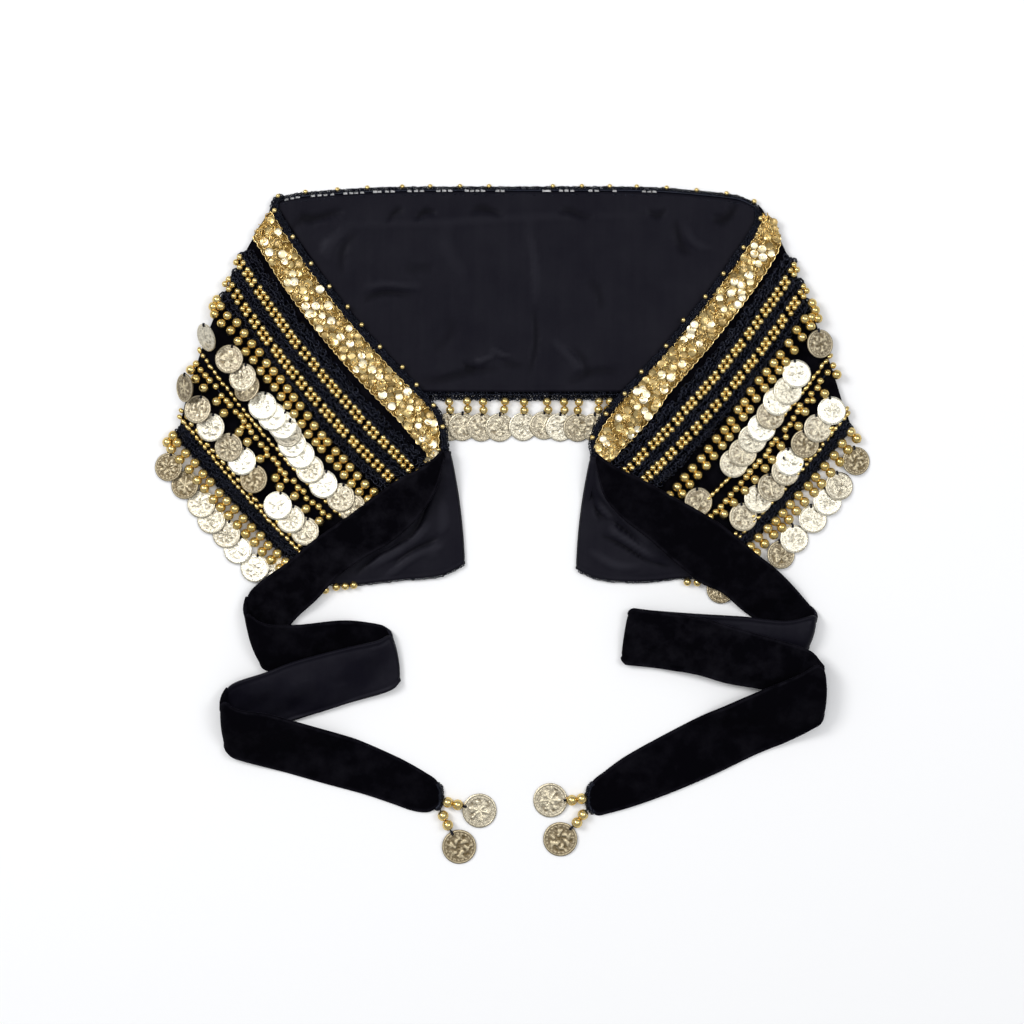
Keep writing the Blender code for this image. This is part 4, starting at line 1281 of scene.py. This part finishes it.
for side in sides:
    places = edgeCrowded(52, 0.6)
    plan = mirrored(side, *np.moveaxis(rulings(end["rows"][side], 64, places), -1, 0))
    name = f"belt_end_{side}"
    plan = roundedCorners(plan, (0, 3.5))
    top = SurfaceMap(name)
    low = SurfaceMap(name, below=True).at(plan[0]) + end["wall"]
    grid = foldedGrid(plan, top, end["wall"], lambda away: trimmedFrom(plan, away)[0], low)
    crease = creaseHeight(grid[..., :2], end["creases"][side])
    crease[:fold["steps"]] = 0.0
    grid[..., 2] += crease
    thickness = seamProfile(edgeAway(grid, places), end["wall"], end["seam"])
    # the crease mark also sets the lining's painted light: lighter on ridges, darker in troughs
    endPiece[side] = shell(f"lining_end_{side}", grid, thickness, "lining", "lining", {"crease": crease},
                           name)
    low = grid[fold["steps"] // 2:, -1]
    inward = grid[fold["steps"] // 2:, -9] - low
    low = low + unit(inward) * 0.7
    heap = Heap()
    crochet(heap, low + upward * 0.3, upward, 1.0, 2, 1.6, 0.8, 0.25)
    endTrims[side].append(heap.make(f"crochet_end_{side}", "crochet"))
    beads = Heap()
    for x, y in end["beads"][side]:
        beads.add(bead, (x, y, 2.9), None, 2.8, rng.uniform(0.3, 0.7))
    endTrims[side].append(beads.make(f"beads_under_end_{side}", "bead"))
    if side == "right":
        coins = Heap()
        coins.add(designs[1], (146.5, -45.5, 0.7), None, 1.0, 0.1)
        endTrims[side].append(coins.make("coin_under_end_right", "coin"))
print("turned ends made")


# the ties: four stretches a side, each folded over the one before
tie = {
    "wall": 2.0, "cells": (104, 28), "seam": 0.55,
    # corner radii at the three folds, top end and low end
    "corners": {"left": ((12, 5), (7, 4), (9, 8)), "right": ((4, 4), (3, 3), (12, 7))},
    # of each stretch: finish, flat size, rulings and creases; the first ruling of all but the first
    # stretch is the last one of the stretch before
    "left": (
        ("crushed", (0.032, 0.185),
         ((-48, 53, -47, 45), (-61, 41, -53, 24), (-80, 31, -66, 4), (-101, 16, -85, -13),
         (-120, 2, -104, -24), (-140, -12, -122, -37), (-158, -27, -137, -53), (-175, -39, -155, -70),
         (-190, -53, -175, -101, -4)),
         ((-150, -38, -118, -14, 4.0, 0.5), (-100, -2, -80, 14, 3.0, -0.5))),
        ("velvet", (0.040, 0.110),
         ((-176, -68, -159, -105), (-152, -70, -141, -106), (-120, -67, -113, -109),
         (-99, -69, -94, -110), (-85, -72, -78, -112, 3)),
         ((-160, -86, -100, -80, 5.0, 0.4),)),
        ("lining", (0.042, 0.135),
         ((-92, -80, -89, -118), (-117, -86, -117, -126), (-151, -95, -148, -136),
         (-172, -103, -172, -145), (-193, -110, -190, -153), (-204, -118, -201, -162, -2)),
         ((-130, -108, -112, -109, 2.0, -1.0), (-160, -110, -130, -114, 4.0, 0.7),
         (-180, -128, -150, -122, 4.0, -0.5), (-110, -95, -92, -93, 3.0, 0.6))),
        ("velvet", (0.042, 0.155),
         ((-192, -128, -185, -167), (-169, -132, -159, -174), (-141, -140, -131, -182),
         (-113, -149, -105, -189), (-85, -161, -84, -196), (-71, -168, -72, -200.3),
         (-60, -174.5, -63, -202), (-54, -178.5, -56.5, -201.3, -2), (-49.5, -184.5, -51, -197)),
         ((-110, -160, -84, -176, 3.0, 0.5), (-100, -176, -80, -190, 2.0, -0.7)))),
    "right": (
        ("velvet", (0.034, 0.195),
         ((59, 50, 58, 42), (71, 41, 64, 20), (90, 32, 77, 4), (110, 21, 95, -10), (130, 10, 113, -26),
         (149, -2, 132, -41), (168, -18, 147, -48), (189, -35, 168, -65), (214, -62, 207, -89, 2)),
         ((110, 2, 140, -22, 4.0, 0.4), (150, -28, 180, -50, 5.0, -0.4))),
        ("lining", (0.036, 0.135),
         ((191, -67, 188, -95), (160, -64, 156, -98), (125, -62, 123, -98), (97, -60, 95, -97),
         (82, -58, 76, -98, -1)),
         ((180, -78, 140, -76, 3.0, 0.5), (150, -88, 110, -84, 4.0, 0.4))),
        ("crushed", (0.042, 0.145),
         ((106, -61, 104, -101), (132, -65, 129, -105), (156, -72, 150, -111), (181, -79, 173, -115),
         (201, -85, 196, -121), (217.4, -92, 218, -137, 4)),
         ((110, -78, 150, -86, 5.0, 0.4),)),
        ("velvet", (0.044, 0.170),
         ((204, -102, 206, -145), (189, -109, 191, -153), (165, -119, 170, -162), (135, -133, 143, -175),
         (104, -149, 115, -187), (79, -163, 88, -197), (64, -174, 67, -203), (57.5, -179, 59, -204, 2),
         (53, -186, 53.5, -198)),
         ((180, -128, 150, -142, 5.0, 0.5), (120, -158, 96, -172, 4.0, 0.4)))),
}
tiePiece = {}
places = edgeCrowded(tie["cells"][1])
fullDepth = tie["wall"] + fold["depth"]
for side in sides:
    corners = ((0, 0), *tie["corners"][side], (0, 0))
    behind = None
    for number, (finish, _, rows, creases) in enumerate(tie[side], start=1):
        name = f"tie_{side}_{number}"
        top = SurfaceMap(name)
        if behind is None:
            plan = roundedCorners(rulings(rows, tie["cells"][0], places), *corners[:2])
            grid = trimmedFrom(plan[::-1], fullDepth - fold["overlap"])[::-1]
            grid = np.dstack([grid, top.at(grid) - tie["wall"]])
            body = grid
            back = "lining"
        else:
            plan = roundedCorners(rulings((lastRow, *rows), tie["cells"][0], places),
                                  *corners[number - 1:number + 1])
            low = behindTop.at(trimmedFrom(behind[::-1], fullDepth)[0])
            grid = foldedGrid(plan, top, tie["wall"], lambda away: trimmedFrom(behind[::-1], away)[0],
                              low, number < 4, corners[number - 1])
            body = grid[fold["steps"]:]
        body[..., 2] += creaseHeight(body[..., :2], creases)
        edge = edgeAway(grid, places)
        thickness = seamProfile(edge, tie["wall"], tie["seam"])
        # the rim mark is where the velvet's painted sheen lightens the rolled edges
        marks = {"rim": np.exp(-((edge - 1.3) / 0.9) ** 2)}   # the rolled seam along both edges
        tiePiece[name] = shell(f"{name}_cloth", grid, thickness, finish, back, marks, name)
        behind, behindTop, lastRow, back = plan, top, rows[-1], finish
print("ties made")


# gathered tips, strings and their coins
tips = {
    # the crochet round the gathered tip; bead, bead and coin of each string; tone of each coin
    "left": (((-51.3, -182), (-49.5, -185), (-48.8, -189), (-48.8, -194), (-49.8, -197.5), (-52, -199.6)),
        (((-45, -194.7), (-38, -196.4), (-22.8, -200.8), 0.6),
        ((-48.3, -204.0), (-45.0, -210.7), (-37.1, -226.1), 0.05))),
    "right": (((56, -181.5), (53.6, -184.5), (52.3, -189), (52.4, -196), (54, -200), (56.5, -202)),
        (((48.9, -192.1), (41.9, -193.2), (26.9, -193.5), 0.55),
        ((49.7, -203.3), (45.5, -208.9), (33.9, -220.8), 0.1))),
}
string = {"beadSize": 3.85, "beadHeight": 3.65, "coinHeight": 0.1, "coinLean": 0.04, "hole": 10.2}
tipPieces = {}
for side, (tipEnds, strings) in tips.items():
    heap = Heap()
    inner = -0.9 if side == "left" else 0.9
    points = np.column_stack([smoothPath(tipEnds, 24) + (inner, 0.0), np.full(25, 2.2)])
    crochet(heap, points, upward, 1.3, 2, 1.4, 0.7, 0.35)
    crochet(heap, points - upward * 1.2, upward, 1.6, 2, 1.4, 0.8, 0.35)
    strand(heap, points + (inner * 0.5, 0.0, -0.9), 1.5, 6)
    made = [heap.make(f"tip_{side}_crochet", "crochet", f"tie_tip_{side}")]
    knots = Heap()
    for number, (first, second, coin, tone) in enumerate(strings, start=1):
        coins = Heap()
        first, second = np.array([(*spot, string["beadHeight"]) for spot in (first, second)])
        coin = np.array([*coin, string["coinHeight"]])
        toBead = unit((second - coin) * (1.0, 1.0, 0.0))
        axes = axesFrom(upward - toBead * string["coinLean"], toBead)
        coins.add(bigCoins[number], coin, axes, 1.0, tone)
        hole = coin + axes[1] * string["hole"] + upward * 1.5
        last = first + unit(first - second) * 6.5
        strand(knots, [hole - axes[1] * 0.6, hole + axes[1] * 1.4, second, first, last], 0.6)
        strand(knots, [hole - axes[1] * 0.9, hole + axes[1] * 0.6, hole + axes[1] * 2.2], 1.0)
        beads = Heap()
        beads.add(bead, first, None, string["beadSize"], 0.75)
        beads.add(bead, second, None, string["beadSize"], 0.65)
        which = f"{side}_{number}"
        made += [coins.make(f"string_coin_{which}_pressed", "coin", f"string_coin_{which}"),
                 beads.make(f"string_beads_{which}", "bead", f"string_bead_{which}a",
                            f"string_bead_{which}b")]
    made.append(knots.make(f"string_threads_{side}", "crochet"))
    tipPieces[side] = made
print("strings made")


# riding on the root body, and the floor
everything = [liningPiece, backingPiece, topPiece, hemPiece, *fringePieces, *flapPiece.values(),
              *endPiece.values(), *tiePiece.values()]
for side in sides:
    everything += trims[side] + endTrims[side] + tipPieces[side]
for piece in everything:
    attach(piece, "root")

floor = bpy.data.objects.new("floor", bpy.data.meshes.new("floor"))
floor.data.from_pydata([(-6, -6, -0.0004), (6, -6, -0.0004), (6, 6, -0.0004), (-6, 6, -0.0004)], [],
                       [(0, 1, 2, 3)])
floor.data.materials.append(floorFinish())
bpy.context.scene.collection.objects.link(floor)
floor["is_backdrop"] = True

for side in sides:
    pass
for side in sides:
    for number, (_, flat, *_) in enumerate(tie[side], start=1):
        tipPieces[side] if number == 4 else []


# camera and studio light
studio = {
    "field": 716.8, "centre": (0.0, 8.75), "distance": 1.8, "sky": 0.42,
    # name: place, size, power, colour
    "lights": {"overhead": ((-0.1, 0.3, 2.6), 2.4, 20.0, (1.0, 0.99, 0.98)),
               "left": ((-1.55, 0.9, 2.0), 0.95, 31.0, (1.0, 1.0, 1.0)),
               "right": ((1.4, 0.3, 2.1), 0.9, 14.0, (0.98, 0.99, 1.0))},
}
cameraData = bpy.data.cameras.new("camera")
cameraData.sensor_width = 36.0
cameraData.lens = 36.0 * studio["distance"] / (studio["field"] * mm)
camera = bpy.data.objects.new("camera", cameraData)
spot = (np.array(studio["centre"]) + drawingShift) * mm
camera.location = (spot[0], spot[1], studio["distance"] + 0.005)
bpy.context.scene.collection.objects.link(camera)
bpy.context.scene.camera = camera
for name, (place, size, power, colour) in studio["lights"].items():
    lamp = bpy.data.lights.new(name, "AREA")
    lamp.shape = "RECTANGLE"
    lamp.size = lamp.size_y = size
    lamp.energy = power
    lamp.color = colour
    made = bpy.data.objects.new(name, lamp)
    made.location = place
    made.rotation_euler = (-Vector(place)).to_track_quat("-Z", "Y").to_euler()
    bpy.context.scene.collection.objects.link(made)
world = bpy.data.worlds.new("studio")
world.use_nodes = True
sky = world.node_tree.nodes["Background"]
sky.inputs["Color"].default_value = (0.95, 0.97, 1.0, 1.0)
sky.inputs["Strength"].default_value = studio["sky"]
bpy.context.scene.world = world
bpy.context.scene.view_settings.view_transform = "Standard"
triangles = [sum(len(polygon.vertices) - 2 for polygon in piece.data.polygons) for piece in everything]
print("studio made:", len(everything), "pieces,", sum(triangles), "triangles, largest", max(triangles))

low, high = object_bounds()
